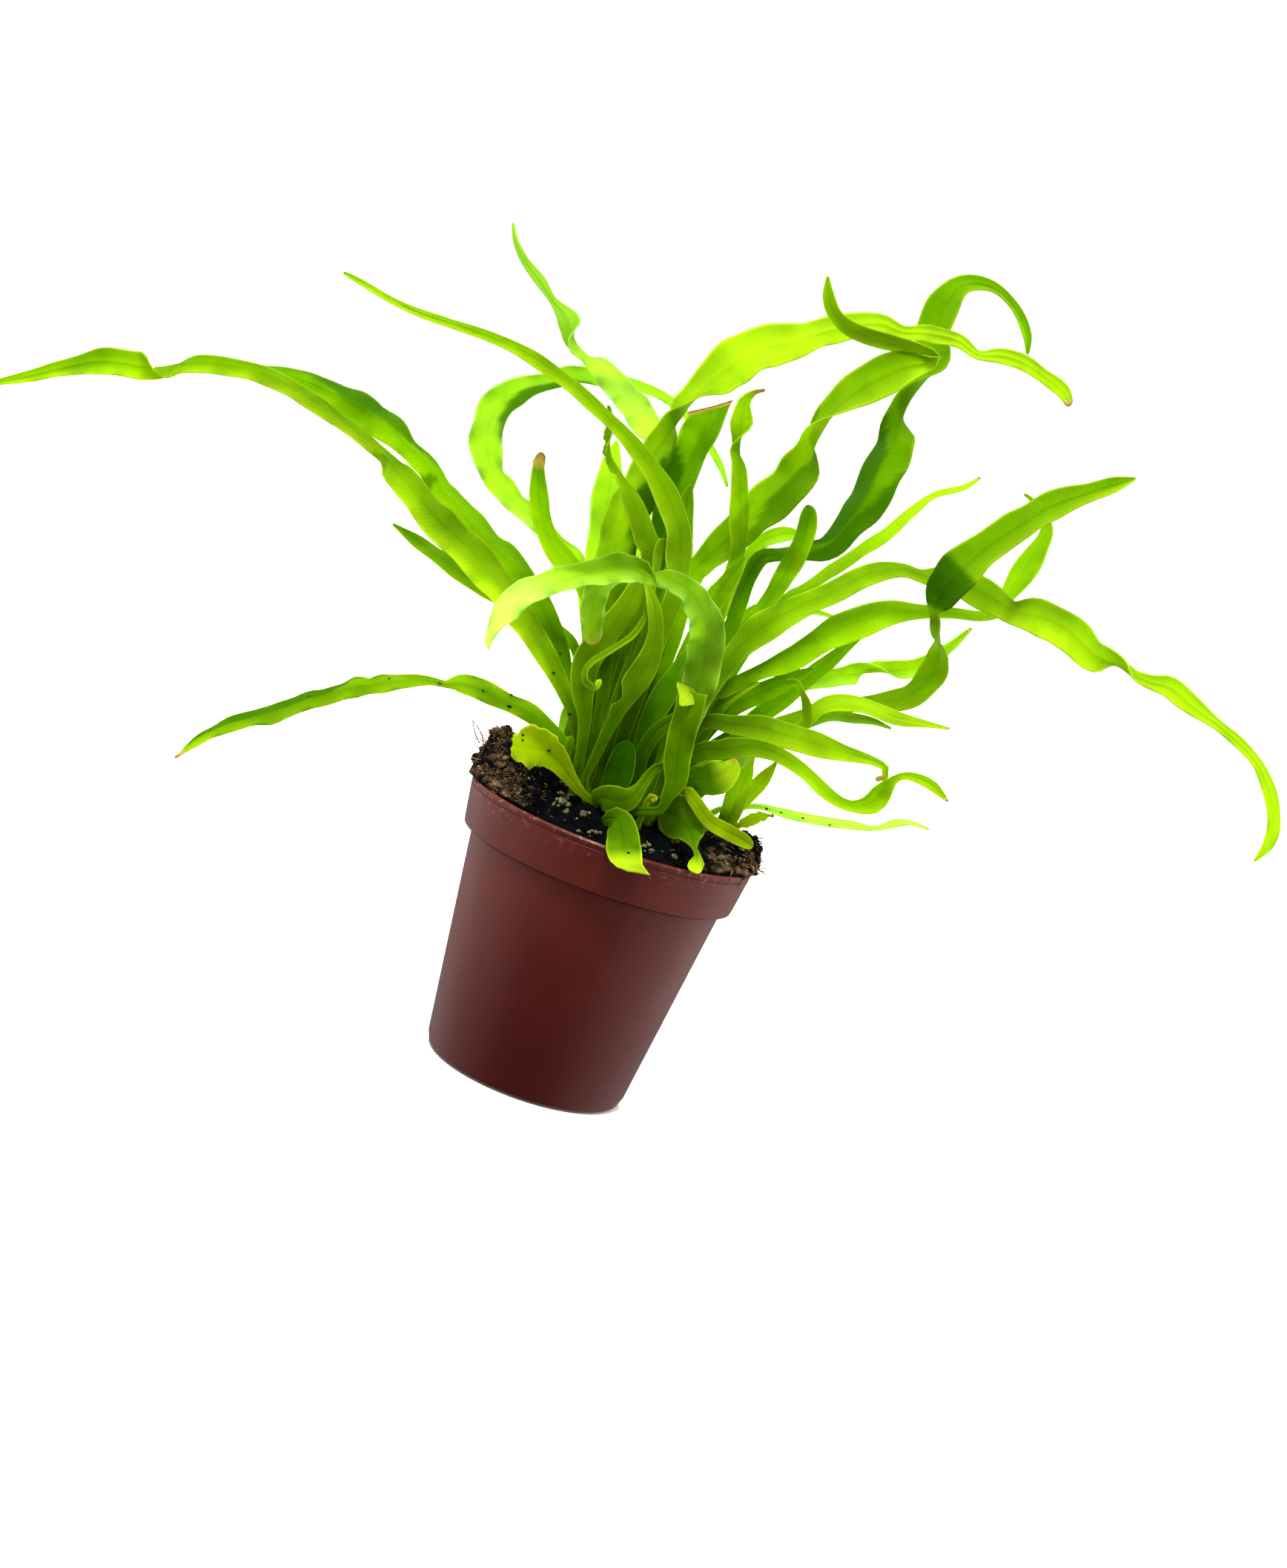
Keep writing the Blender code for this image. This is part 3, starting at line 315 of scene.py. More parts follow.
    Frond("near_blunt", PALE, (3.8, -11.3), (11.5, 11.9, 18.8, 31.5, 36, 36), (
        (7, 76, 2.2), (7.5, 88, 2.5), (7, 93, 2.5), (5.5, 98.5, 2.5), (2.5, 102.5, 2.5),
        (-2, 105, 2.5), (-6, 104.8, 2.5), (-11, 104.4, 2.6), (-16, 103, 3.2), (-19, 99.8, 4.6),
        (-18.7, 95.4, 4.8), (-17.5, 91.4, 4.2), (-16.6, 88.8, 3.4), (-16.4, 87.8, 2.8))),
    Frond("left_brown_tip", DEEP, (-7, -8.2), (7.4, 5.5, 2), (
        (-10, 75, 2), (-14, 90, 3), (-22, 99, 4), (-27, 102, 4.5), (-31, 104.5, 4),
        (-34.5, 109, 3.8), (-37, 114, 3.3), (-38.4, 118, 2.3), (-38.6, 120.6, 1.4))),
    Frond("left_broad", LIME, (-9, -11), (9.5, 10.5, 9.5), (
        (-12, 72, 2.5), (-14.5, 78, 4.5), (-16, 84, 5.5), (-14.5, 90, 5.5), (-12.5, 96, 4.5),
        (-11.5, 102, 3.5), (-11, 106, 1.5))),
    Frond("inner_wavy", LIME, (-6, -12.5), (11.5, 11.5), (
        (-8.2, 62, 1.5), (-7.8, 68, 2), (-7, 75, 2.5), (-6, 80, 3.5), (-5, 85, 5.2),
        (-4.3, 90, 4.5), (-5, 95, 3), (-7.5, 100, 2.5), (-10.5, 103.5))),
    Frond("inner_dark", INNER, (-7.3, -6), (5.2, 3.9), (
        (-10, 62, 2.5), (-11, 70, 3), (-11.5, 80, 3.5), (-12, 90, 3.5), (-12, 98))),
    Frond("inner_short", INNER, (-2.5, -9.2), (8, 8), (
        (-2.3, 60.5, 4), (-2.3, 65, 6), (-2.6, 70, 4.5), (-2.6, 72.3, 2))),
    Frond("inner_upright", INNER, (0, -4), (3.3, 3), (
        (0.5, 70, 3), (0, 76, 4), (0.8, 83, 5), (2.2, 90, 3.5), (2.6, 94.7))),
    Frond("inner_bent", DEEP, (1.5, -6.5), (5.6, 6), (
        (2, 63, 2.5), (0.8, 70, 3), (2, 76, 3), (4.6, 80, 2), (6, 82))),
    Frond("centre_right", DEEP, (5.5, 4.5), (-5.5, -6), (
        (9.5, 85, 3.4), (11.5, 100, 2.8), (13, 105.5, 2.7), (14.5, 110.5, 3.5), (15.5, 115.5, 4),
        (16.2, 119.6, 4), (16.3, 124, 3.9), (15.6, 127.4, 3), (14.8, 129, 1.4))),
    Frond("centre_slim", DEEP, (2.5, -2.2), (1.2, 1.5), (
        (2, 80, 4), (3.5, 103, 4), (4.5, 107.5, 4), (5.8, 111.5, 3), (6.8, 115))),
    Frond("right_cupped", LIME, (12.8, -9.3), (11.8, 13.2), (
        (11.6, 68.6, 4), (14, 70, 6), (16.6, 71.6, 7.2), (18.3, 73.8, 5), (18.7, 76.2, 1.4))),
    Frond("right_short_upright", DEEP, (19, 0.5), (1, 1.8), (
        (21.3, 64, 3.7), (21.5, 69, 4.5), (21.7, 73, 3.7), (22.2, 77))),
    Frond("right_short_second", YELLOW, (17.5, -3.5), (0.2, 0), (
        (21, 64, 2), (23.5, 69.5, 2.6), (25.2, 74, 3), (26.7, 78.5))),
    Frond("right_inner", DEEP, (7, 0.8), (-2.2, -4), (
        (9.5, 72, 2.2), (12.5, 82, 3), (16, 87.5, 4), (20, 91.5, 4), (24, 95.5, 3), (27, 98.5))),
    Frond("left_pale_back", PALE, (-9, 10), (-11.2, -20, -26), (
        (-13, 82, 4.5), (-19, 100, 5.5), (-21, 108, 6), (-23, 116, 6), (-24.5, 123, 4.5),
        (-25.5, 128))),
    Frond("centre_back", DEEP, (-3, 0), (-1, -1.5), (
        (-4, 82, 5), (-5, 100, 5), (-5.5, 108, 4), (-6.5, 115, 4), (-8, 121, 3), (-8.5, 125))),
    Frond("back_left_high", DEEP, (-10, 19), (-23, -36, -50, -62), (
        (-9, 77, 3.6), (-13, 92, 6), (-17, 100, 6), (-18, 97, 3.5), (-18.5, 91))),
    Frond("back_left_low", LIME, (-14.5, 12), (-15, -34, -50, -62), (
        (-14, 70, 3), (-14, 78, 5), (-15, 78, 5), (-15.5, 71, 3.5), (-15.5, 63))),
    Frond("back_middle_high", LIME, (-1.5, 18.5), (-22, -40, -62, -84), (
        (-2, 78, 4), (-3.5, 96, 6), (-5, 102, 6), (-5.5, 101, 4), (-6, 97))),
    Frond("back_middle_low", DEEP, (3, 20.5), (-24, -44, -66, -86), (
        (3, 68, 3.5), (2, 74, 5.5), (0.5, 72, 5.5), (-1, 65, 4), (-2, 58))),
    Frond("back_right_high", LIME, (6, 17), (-19, -34, -54, -72), (
        (7.5, 76, 4), (10, 92, 5.5), (9.5, 99, 5.5), (8, 99, 3.5), (7, 96))),
    Frond("back_right_low", DEEP, (13, 15), (-18, -36, -56, -70), (
        (14, 68, 3), (18, 76, 5), (20, 77, 5), (21, 72, 3.5), (21, 65))),
)

# Small leaves that only the dressed plant has
SMALL_FRONDS = (
    Frond("bud_leaf", LIME, (-5.2, -8.6), (7.6, 9, 9.5), (
        (-6, 75, 1.2), (-7, 90, 1.4), (-8.4, 101, 1.4), (-9, 106, 1.5), (-9.8, 109.5, 1.9),
        (-9.9, 112.9, 1.9))),
    Frond("right_ruffled_behind", PALE, (8.6, -4.2), (2.7, 3.2, 3.4), (
        (14, 72.5, 1.4), (23, 81.2, 1.4), (29, 86.8, 1.5), (33.5, 90.8, 2.2), (38, 92, 2),
        (42, 92.8, 1.4), (46, 92.6))),
    Frond("right_back_curl", LIME, (8.3, -7.4), (6.0, 6.4, 7), (
        (14, 73.3, 1.2), (23, 81.8, 1.2), (29.2, 86.8, 1.5), (29.3, 89, 2), (28.4, 91.2, 2),
        (27, 93, 1.2), (25, 94.6, 1.4), (22.8, 94.2, 0.8)), 0.3),
    Frond("front_tall_flap", LIME, (2.2, -16), (13, 15, 16.5, 17.5, 17.5, 17.5, 19.2, 21.8), (
        (3.5, 59.5, 0.8), (8, 64.5, 0.8), (7.6, 72, 0.8), (6.2, 82, 0.8), (5.75, 86.4, 0.8),
        (5.7, 86.2, 6), (5.6, 85.4, 5.8), (5.2, 84.1, 3.2), (4.5, 82.5))),
    Frond("hanging_curl", LIME, (-7, -10.6), (10.4, 10.6, 12.4, 13, 13), (
        (-8.4, 80, 0.8), (-8.2, 90, 0.8), (-8, 97.2, 0.8), (-8.2, 96.4, 1), (-9, 92.8, 1.3),
        (-11.8, 88.8, 1.2), (-14.9, 84.9, 1.2), (-15.7, 82.4, 1.2), (-14.8, 80.4, 1.4),
        (-12.6, 80, 1.4), (-12.2, 82, 1))),
    Frond("centre_pale_back", PALE, (3.6, 10.5), (-12.5, -17, -20), (
        (5, 85, 2), (6, 100, 2), (7, 112, 2.2), (8.3, 118.4, 2.8), (11.3, 121.4, 3.2),
        (14.6, 122.6, 2), (17.5, 121.6))),
    Frond("right_pale_back", PALE, (5.8, 11.5), (-13.5, -17, -22), (
        (8, 85, 2), (9.6, 95, 2), (11, 104, 2.2), (15.5, 108.2, 1.5), (22, 109.3, 1.3),
        (28.5, 109.8))),
    Frond("right_inner_short", LIME, (9.6, -2.6), (1.4, 1.2), (
        (10.5, 70, 1.6), (11.5, 80, 2), (12.5, 86, 2.5), (15, 89.5, 2), (18, 92.3))),
    Frond("crown_bud", PALE, (-11.2, -7.5), (8, 8.4), (
        (-12.6, 63.4, 1), (-13.5, 66.6, 1.6), (-13.8, 69.3, 1.5))),
    Frond("dry_scrap", YELLOW, (4.6, -17.2), (17.8, 18.6), (
        (5, 60.2, 0.8), (4.9, 62, 1.2), (5.6, 63.4, 1.6), (6.6, 62.7, 1.5))),
)

# The shaded stretches below are painted shade, where a blade is folded over on itself or crosses
# another blade
DRESSES = {
    "left_long": Dress(ruffle=0.07, wave=9, shaded_stretches=((0.455, 0.505, -1, 0.6, 0.02),)),
    "left_folded": Dress(ruffle=0.08, wave=9,
                         shaded_stretches=((0.66, 0.92, 1, 0.65), (0.6, 0.65, -1, 0.6, 0.02))),
    "left_hooked": Dress(pale=120, fade=0.4, ruffle=0.12, wave=9, shaded_stretches=((0.58, 0.74, 1, 0.7),)),
    "top_folded_back": Dress(shaded_stretches=((0.42, 0.62, 1, 0.6), (0.62, 0.8, 0, 0.25))),
    "top_left_pale": Dress(pale=200, fade=0.45, ruffle=0.08, wave=6,
                           shaded_stretches=((0.74, 1.02, 0, 0.4),)),
    "top_hooked": Dress(shaded_stretches=((0.4, 0.68, -1, 0.85), (0.38, 0.58, 1, 0.75), (0, 1, 0, 0.3))),
    "left_low": Dress(dry=3, dead=0.9, ruffle=0.22, wave=9,
                      trims=((0, 1, 1), (0.6, 1, 1), (0.85, 0.76, 0.76), (1, 0.76, 0.76)),
                      shaded_stretches=((0.6, 0.98, 1, 0.78), (0.42, 0.52, 1, 0.5, 0.03),
                               (0.55, 0.64, -1, 0.45, 0.03), (0, 0.97, 0, 0.3))),
    "left_brown_tip": Dress(dry=4.6, dead=0.75, ragged=0.3, torn=2.5),
    "top_arching": Dress(dry=1.8, pale=150, fade=0.45, ruffle=0.06, shaded_stretches=((0.3, 0.44, 1, 0.9),)),
    "centre_cut": Dress(dry=1.3, dead=0.9, slant=-6.4, blunt=True,
                        shaded_stretches=((0.46, 0.9, -1, 0.85), (0.46, 0.78, 1, 0.85), (0.7, 1, 1, 0.2)),
                        trims=((0, 1, 1), (0.8, 1, 1), (0.9, 1, 0.75), (1, 1, 1))),
    "centre_shredded": Dress(ragged=0.6, torn=14),
    "centre_twisted": Dress(dry=4.4, dead=0.6),
    "right_thin": Dress(dry=1.6, pale=75),
    "right_small": Dress(dry=1.6, pale=45, fade=0.4),
    "right_twisted": Dress(pale=170, fade=0.22),
    "right_curled": Dress(dry=3.6, dead=0.5),
    "right_low_twisted": Dress(dry=1.3),
    "right_low_pale": Dress(dry=0.8, pale=60, ruffle=0.1),
    "right_pale": Dress(dry=1.6),
    "right_ragged": Dress(dry=1, ragged=0.5, torn=9),
    "near_blunt": Dress(dry=3.6, dead=0.34, ruffle=0.14, wave=4),
    # The shortest pale lengths here and below, under 8 mm, are painted highlights at the tips
    "right_cupped": Dress(dry=1.2, dead=0.5, pale=7, shaded_stretches=((0, 0.8, 0, 0.35),)),
    "right_short_second": Dress(dry=1.5, dead=0.5),
    "right_pleated": Dress(ruffle=0.12, wave=3.2, pale=4.6),
    "soil_lobed": Dress(ragged=0.9, torn=9, ruffle=0.06, wave=3, blunt=True),
    "rim_tongue": Dress(pale=5.5, slant=2.6, blunt=True,
                        trims=((0, 1, 1), (0.82, 1, 1), (0.93, 0.92, 0.9), (1, 1.35, 0.62))),
    "near_arching": Dress(pale=24, ruffle=0.11, wave=7, shaded_stretches=((0.58, 0.84, -1, 0.45),)),
    "front_tall": Dress(ruffle=0.05, blunt=True),
    "front_tall_flap": Dress(pale=6, ruffle=0),
    "inner_wavy": Dress(trims=((0, 1, 1), (0.4, 0.9, 1), (0.455, 1.35, 1), (0.495, 0.35, 1),
                               (0.55, 1.2, 1), (0.62, 1, 1), (1, 1, 1))),
    "hanging_curl": Dress(pale=4, ruffle=0),
    "right_ruffled": Dress(pale=55, fade=0.55, ruffle=0.08, wave=10, shaded_stretches=((0, 0.6, 0, 0.2),)),
    "right_upright": Dress(shaded_stretches=((0.635, 0.722, 0, 0.9, 0.012), (0, 1, 0, 0.3))),
    "dry_scrap": Dress(dry=4, dead=0.3),
    "right_short_upright": Dress(pale=16),
}


def linear(colour: str, alpha: float = 1.0) -> tuple[float, float, float, float]:
    """Turns an sRGB hex colour to linear.

    Args:
        colour: Six hex digits after a hash.
        alpha: The fourth channel.

    Returns:
        Red, green, blue and alpha.
    """
    channels = [int(colour[start : start + 2], 16) / 255 for start in (1, 3, 5)]
    turned = [c / 12.92 if c <= 0.04045 else ((c + 0.055) / 1.055) ** 2.4 for c in channels]
    return (*turned, alpha)


def add_node(tree: bpy.types.NodeTree, kind: str, settings: dict, links: dict) -> bpy.types.Node:
    """Adds a shader node with its settings and links.

    Args:
        tree: The material's or world's node tree.
        kind: The node's type, without its prefix.
        settings: The node's own properties.
        links: For an input's name or number, the output that feeds it or its value.

    Returns:
        The node.
    """
    node = tree.nodes.new("ShaderNode" + kind)
    for name, value in settings.items():
        setattr(node, name, value)
    for name, value in links.items():
        if isinstance(value, bpy.types.NodeSocket):
            tree.links.new(value, node.inputs[name])
        else:
            node.inputs[name].default_value = value
    return node


def new_material(name: str) -> tuple[bpy.types.Material, bpy.types.NodeTree]:
    """Makes a material with an empty node tree.

    Args:
        name: The finish's name.

    Returns:
        The material and its tree.
    """
    made = bpy.data.materials.new(name)
    made.use_nodes = True
    made.node_tree.nodes.clear()
    return made, made.node_tree


@dataclass(frozen=True)
class LeafFinish:
    """A living fern blade, fresh and waxed by its own cuticle.

    It is thin, so it shows the light behind it in a yellower green than the light it sends back.
    Its midrib and thin margin are paler, and fine side veins run obliquely from the midrib.
    vein_gap, vein_reach, root_start and root_end are in millimetres along the blade. shaded_face
    and shaded_glow are painted shade: the colours sent back and let through where it is painted
    darker.
    """

    kind: LeafKind
    face: str
    shade: str
    glow: str
    deep: str
    margin: str
    through: float
    shaded_face: str = "#3c7000"
    shaded_glow: str = "#74a000"
    sheen: str = "#ccf000"
    dead: tuple = ((0.1, "#c2b85c"), (0.45, "#bca256"), (0.75, "#80623a"), (1.0, "#3a2a18"))
    roughness: float = 0.38
    vein_gap: float = 1.1
    vein_reach: float = 2.6
    root_start: float = 12.0
    root_end: float = 48.0

    def make(self) -> bpy.types.Material:
        """Builds the material.

        Returns:
            The material.
        """
        made, tree = new_material(self.kind.value)
        place = add_node(tree, "TexCoord", {}, {}).outputs["Object"]
        dry, faded_and_lit, shaded = (
            add_node(tree, "Attribute", {"attribute_name": layer}, {}).outputs["Fac"]
            for layer in (DRY_LAYER, PALE_LAYER, SHADE_LAYER))
        split = add_node(tree, "SeparateXYZ", {}, {
            0: add_node(tree, "UVMap", {"uv_map": BLADE_MAP}, {}).outputs[0]}).outputs
        offset = add_node(tree, "Math", SCALED_SUM, {0: split[0], 1: 2.0, 2: -1.0}).outputs[0]
        side = add_node(tree, "Math", SIZE_ONLY, {0: offset}).outputs[0]
        along = add_node(tree, "Math", PRODUCT, {0: split[1], 1: MAP_LENGTH}).outputs[0]
        rib, rim = (add_node(tree, "MapRange", EASED, {
            "Value": side, "From Min": start, "From Max": end}).outputs[0]
            for start, end in ((0.16, 0.02), (0.84, 1.0)))

        # Side veins are about 1 mm apart and bend a little
        phase = add_node(tree, "Math", SCALED_SUM, {0: side, 1: -self.vein_reach, 2: along})
        bend = add_node(tree, "TexNoise", {}, {"Vector": place, "Scale": 240.0, "Detail": 1.0})
        bent = add_node(tree, "Math", SCALED_SUM, {0: bend.outputs[0], 1: 1.6, 2: phase.outputs[0]})
        turns = add_node(tree, "Math", PRODUCT, {
            0: bent.outputs[0], 1: 2 * math.pi / self.vein_gap})
        wave = add_node(tree, "Math", {"operation": "SINE"}, {0: turns.outputs[0]})
        vein = add_node(tree, "MapRange", EASED, {
            "Value": wave.outputs[0], "From Min": 0.1, "From Max": 1.0}).outputs[0]

        # Patches of deeper green, 10 to 20 mm across, and a fine mottle. The blade is also thicker
        # and deeper green near its root, along its midrib and at its veins
        patch = add_node(tree, "TexNoise", {}, {
            "Vector": place, "Scale": 70.0, "Detail": 3.0, "Roughness": 0.55})
        thick = add_node(tree, "MapRange", {}, {
            "Value": patch.outputs[0], "From Min": 0.4, "From Max": 0.72, "To Max": 0.7}).outputs[0]
        mottle = add_node(tree, "TexNoise", {}, {
            "Vector": place, "Scale": 1100.0, "Detail": 2.0}).outputs[0]
        young = add_node(tree, "MapRange", EASED, {
            "Value": along, "From Min": self.root_end, "From Max": self.root_start}).outputs[0]
        for part, gain in ((young, 0.45), (rib, 0.14), (vein, 0.03)):
            thick = add_node(tree, "Math", CLAMPED_SUM, {0: part, 1: gain, 2: thick}).outputs[0]

        # Age drifts over a frond, so that whole stretches of it are yellower
        drift = add_node(tree, "TexNoise", {}, {"Vector": place, "Scale": 22.0, "Detail": 1.0})
        pale = add_node(tree, "MapRange", {}, {
            "Value": drift.outputs[0], "From Min": 0.42, "From Max": 0.68,
            "To Max": 0.22}).outputs[0]
        # The pale layer holds tissue gone pale and painted light: highlights at short tips, the
        # lower half of a blade and the ruffles that face the light
        for part, gain in ((rim, 0.5), (faded_and_lit, 0.8)):
            pale = add_node(tree, "Math", CLAMPED_SUM, {0: part, 1: gain, 2: pale}).outputs[0]

        # Dead tissue is straw, then brown, then nearly black at the very tip
        spotted = add_node(tree, "Math", SCALED_SUM, {0: mottle, 1: 0.3, 2: dry})
        worn = add_node(tree, "Math", {"operation": "SUBTRACT"}, {
            0: spotted.outputs[0], 1: 0.15}).outputs[0]
        gone = add_node(tree, "MapRange", EASED, {
            "Value": worn, "From Min": 0.08, "From Max": 0.4}).outputs[0]
        ramp = add_node(tree, "ValToRGB", {}, {0: worn})
        stops = ramp.color_ramp.elements
        stops[0].position, stops[1].position = self.dead[0][0], self.dead[-1][0]
        for position, _ in self.dead[1:-1]:
            stops.new(position)
        for stop, (_, tone) in zip(stops, self.dead):
            stop.color = linear(tone)

        # Painted shade: the shaded layer darkens both colours where a blade is folded over on itself
        # or crosses another blade, on the upper half of a blade and on the steep side of its ruffles
        tones = []
        for thin, full, shaded_tone in ((self.face, self.shade, self.shaded_face),
                                   (self.glow, self.deep, self.shaded_glow)):
            tone = linear(thin)
            for share, layer in ((thick, linear(full)), (pale, linear(self.margin)),
                                 (shaded, linear(shaded_tone)), (gone, ramp.outputs[0])):
                tone = add_node(tree, "Mix", COLOURS, {0: share, 6: tone, 7: layer}).outputs[2]
            tones.append(tone)

        relief = vein
        for part, gain in ((rib, 1.2), (mottle, 0.5)):
            relief = add_node(tree, "Math", SCALED_SUM, {0: part, 1: gain, 2: relief}).outputs[0]
        bump = add_node(tree, "Bump", {}, {
            "Strength": 0.12, "Distance": 0.0002, "Height": relief}).outputs[0]
        gloss = add_node(tree, "MapRange", {}, {
            "Value": mottle, "To Min": self.roughness - 0.06, "To Max": self.roughness + 0.12})
        surface = add_node(tree, "BsdfPrincipled", {}, {
            "Base Color": tones[0], "Roughness": gloss.outputs[0], "IOR": 1.42, "Normal": bump,
            "Specular IOR Level": 0.3, "Specular Tint": linear(self.sheen)})
        through = add_node(tree, "BsdfTranslucent", {}, {"Color": tones[1], "Normal": bump})
        share = add_node(tree, "MapRange", {}, {
            "Value": gone, "To Min": self.through, "To Max": self.through * 0.25}).outputs[0]
        both = add_node(tree, "MixShader", {}, {
            0: share, 1: surface.outputs[0], 2: through.outputs[0]})
        add_node(tree, "OutputMaterial", {}, {0: both.outputs[0]})
        return made


@dataclass(frozen=True)
class GroundFinish:
    """Damp peat, grit and dead root: matt, broken by noise at two scales.

    Peat that has dried turns brown, which it does first at the two sides of the pot.
    """

    name: str
    dark: str
    light: str
    grain: float
    low: float = 0.4
    high: float = 0.65
    roughness: float = 0.95
    dried: str = ""
    damp_to: float = 0.023
    dried_from: float = 0.03

    def make(self) -> bpy.types.Material:
        """Builds the material.

        Returns:
            The material.
        """
        made, tree = new_material(self.name)
        place = add_node(tree, "TexCoord", {}, {}).outputs["Object"]
        coarse = add_node(tree, "TexNoise", {}, {
            "Vector": place, "Scale": self.grain, "Detail": 6.0, "Roughness": 0.7}).outputs[0]
        picked = add_node(tree, "MapRange", {}, {
            "Value": coarse, "From Min": self.low, "From Max": self.high}).outputs[0]
        colour = add_node(tree, "Mix", COLOURS, {
            0: picked, 6: linear(self.dark), 7: linear(self.light)}).outputs[2]
        if self.dried:
            across = add_node(tree, "SeparateXYZ", {}, {0: place}).outputs[0]
            aside = add_node(tree, "Math", SIZE_ONLY, {0: across}).outputs[0]
            broken = add_node(tree, "TexNoise", {}, {
                "Vector": place, "Scale": 260.0, "Detail": 4.0}).outputs[0]
            aside = add_node(tree, "Math", SCALED_SUM, {0: broken, 1: 0.014, 2: aside}).outputs[0]
            share = add_node(tree, "MapRange", EASED, {
                "Value": aside, "From Min": self.damp_to, "From Max": self.dried_from,
                "To Max": 0.85}).outputs[0]
            blotched = add_node(tree, "MapRange", {}, {
                "Value": broken, "From Min": 0.4, "From Max": 0.56}).outputs[0]
            for part in (picked, blotched):
                share = add_node(tree, "Math", PRODUCT, {0: share, 1: part}).outputs[0]
            colour = add_node(tree, "Mix", COLOURS, {
                0: share, 6: colour, 7: linear(self.dried)}).outputs[2]
        fine = add_node(tree, "TexNoise", {}, {
            "Vector": place, "Scale": self.grain * 5, "Detail": 4.0}).outputs[0]
        bump = add_node(tree, "Bump", {}, {"Strength": 0.8, "Distance": 0.0004, "Height": fine})
        surface = add_node(tree, "BsdfPrincipled", {}, {
            "Base Color": colour, "Roughness": self.roughness, "Specular IOR Level": 0.15,
            "Normal": bump.outputs[0]})
        add_node(tree, "OutputMaterial", {}, {0: surface.outputs[0]})
        return made


@dataclass(frozen=True)
class PotFinish:
    """Injection-moulded polypropylene, pigmented terracotta brown, with a fine satin texture.

    Handling has polished it a little, it is painted darker low down as painted shade, and dust dulls
    it in patches near the rim.
    """

    body: str = "#561c16"
    worn: str = "#66281f"
    # The colour of the painted shade low down
    low: str = "#500e0a"
    dust: str = "#9a7462"

    def make(self) -> bpy.types.Material:
        """Builds the material.

        Returns:
            The material.
        """
        made, tree = new_material("pot_plastic")
        place = add_node(tree, "TexCoord", {}, {}).outputs["Object"]
        height = add_node(tree, "SeparateXYZ", {}, {0: place}).outputs[2]
        cloud = add_node(tree, "TexNoise", {}, {
            "Vector": place, "Scale": 45.0, "Detail": 4.0, "Roughness": 0.6}).outputs[0]
        # The mould's spark texture is about 0.2 mm, drawn at 0.4 mm so that it shows
        grain = add_node(tree, "TexNoise", {}, {
            "Vector": place, "Scale": 2500.0, "Detail": 2.0}).outputs[0]
        specks = add_node(tree, "TexNoise", {}, {
            "Vector": place, "Scale": 900.0, "Detail": 5.0, "Roughness": 0.7}).outputs[0]
        picked, near_rim, dusty = (add_node(tree, "MapRange", {}, {
            "Value": value, "From Min": start, "From Max": end}).outputs[0]
            for value, start, end in (
                (cloud, 0.35, 0.7), (height, 0.05, 0.0552), (specks, 0.55, 0.7)))
        # Painted shade: the low colour below 4 mm blends into the body colour by 45 mm up
        upwards = add_node(tree, "MapRange", EASED, {
            "Value": height, "From Min": 0.004, "From Max": 0.045}).outputs[0]
        dusted = add_node(tree, "Math", PRODUCT, {0: dusty, 1: near_rim}).outputs[0]
        colour = add_node(tree, "Mix", COLOURS, {
            0: picked, 6: linear(self.body), 7: linear(self.worn)}).outputs[2]
        colour = add_node(tree, "Mix", COLOURS, {
            0: upwards, 6: linear(self.low), 7: colour}).outputs[2]
        colour = add_node(tree, "Mix", COLOURS, {
            0: dusted, 6: colour, 7: linear(self.dust)}).outputs[2]
        gloss = add_node(tree, "MapRange", {}, {
            "Value": cloud, "From Min": 0.3, "From Max": 0.7, "To Min": 0.36, "To Max": 0.5})
        bump = add_node(tree, "Bump", {}, {"Strength": 0.18, "Distance": 0.0002, "Height": grain})
        surface = add_node(tree, "BsdfPrincipled", {}, {
            "Base Color": colour, "Roughness": gloss.outputs[0], "IOR": 1.49,
            "Specular IOR Level": 0.32, "Normal": bump.outputs[0]})
        add_node(tree, "OutputMaterial", {}, {0: surface.outputs[0]})
        return made


LEAF_FINISHES = (
    LeafFinish(LIME, "#86aa00", "#507c00", "#c2dc00", "#88ac00", "#d4ea3c", 0.52),
    LeafFinish(DEEP, "#7ea400", "#447800", "#b8da00", "#78a400", "#c6e220", 0.5),
    LeafFinish(INNER, "#7eb000", "#427e00", "#a8d600", "#68a800", "#ccec50", 0.49),
    LeafFinish(PALE, "#98b600", "#629000", "#cce61c", "#9cbe00", "#d6f68c", 0.6),
    LeafFinish(YELLOW, "#a8b800", "#7c9800", "#d0e400", "#a8c000", "#e8f250", 0.55),
)


GROUND_FINISHES = (
    GroundFinish("peat", "#020409", "#101219", 420.0, 0.42, 0.72, dried="#a88a66"),
    GroundFinish("peat_fibre", "#4c3a28", "#b4966c", 300.0),
    GroundFinish("perlite", "#4a4a38", "#b0aa88", 900.0),
)


def add_model(name: str, shape: bmesh.types.BMesh) -> bpy.types.Object:
    """Turns a bmesh in millimetres into an object in the scene.

    Args:
        name: The object's name.
        shape: Its mesh, which is freed.

    Returns:
        The object.
    """
    bmesh.ops.scale(shape, vec=(MM, MM, MM), verts=shape.verts)
    mesh = bpy.data.meshes.new(name)
    shape.to_mesh(mesh)
    shape.free()
    made = bpy.data.objects.new(name, mesh)
    bpy.context.scene.collection.objects.link(made)
    return made


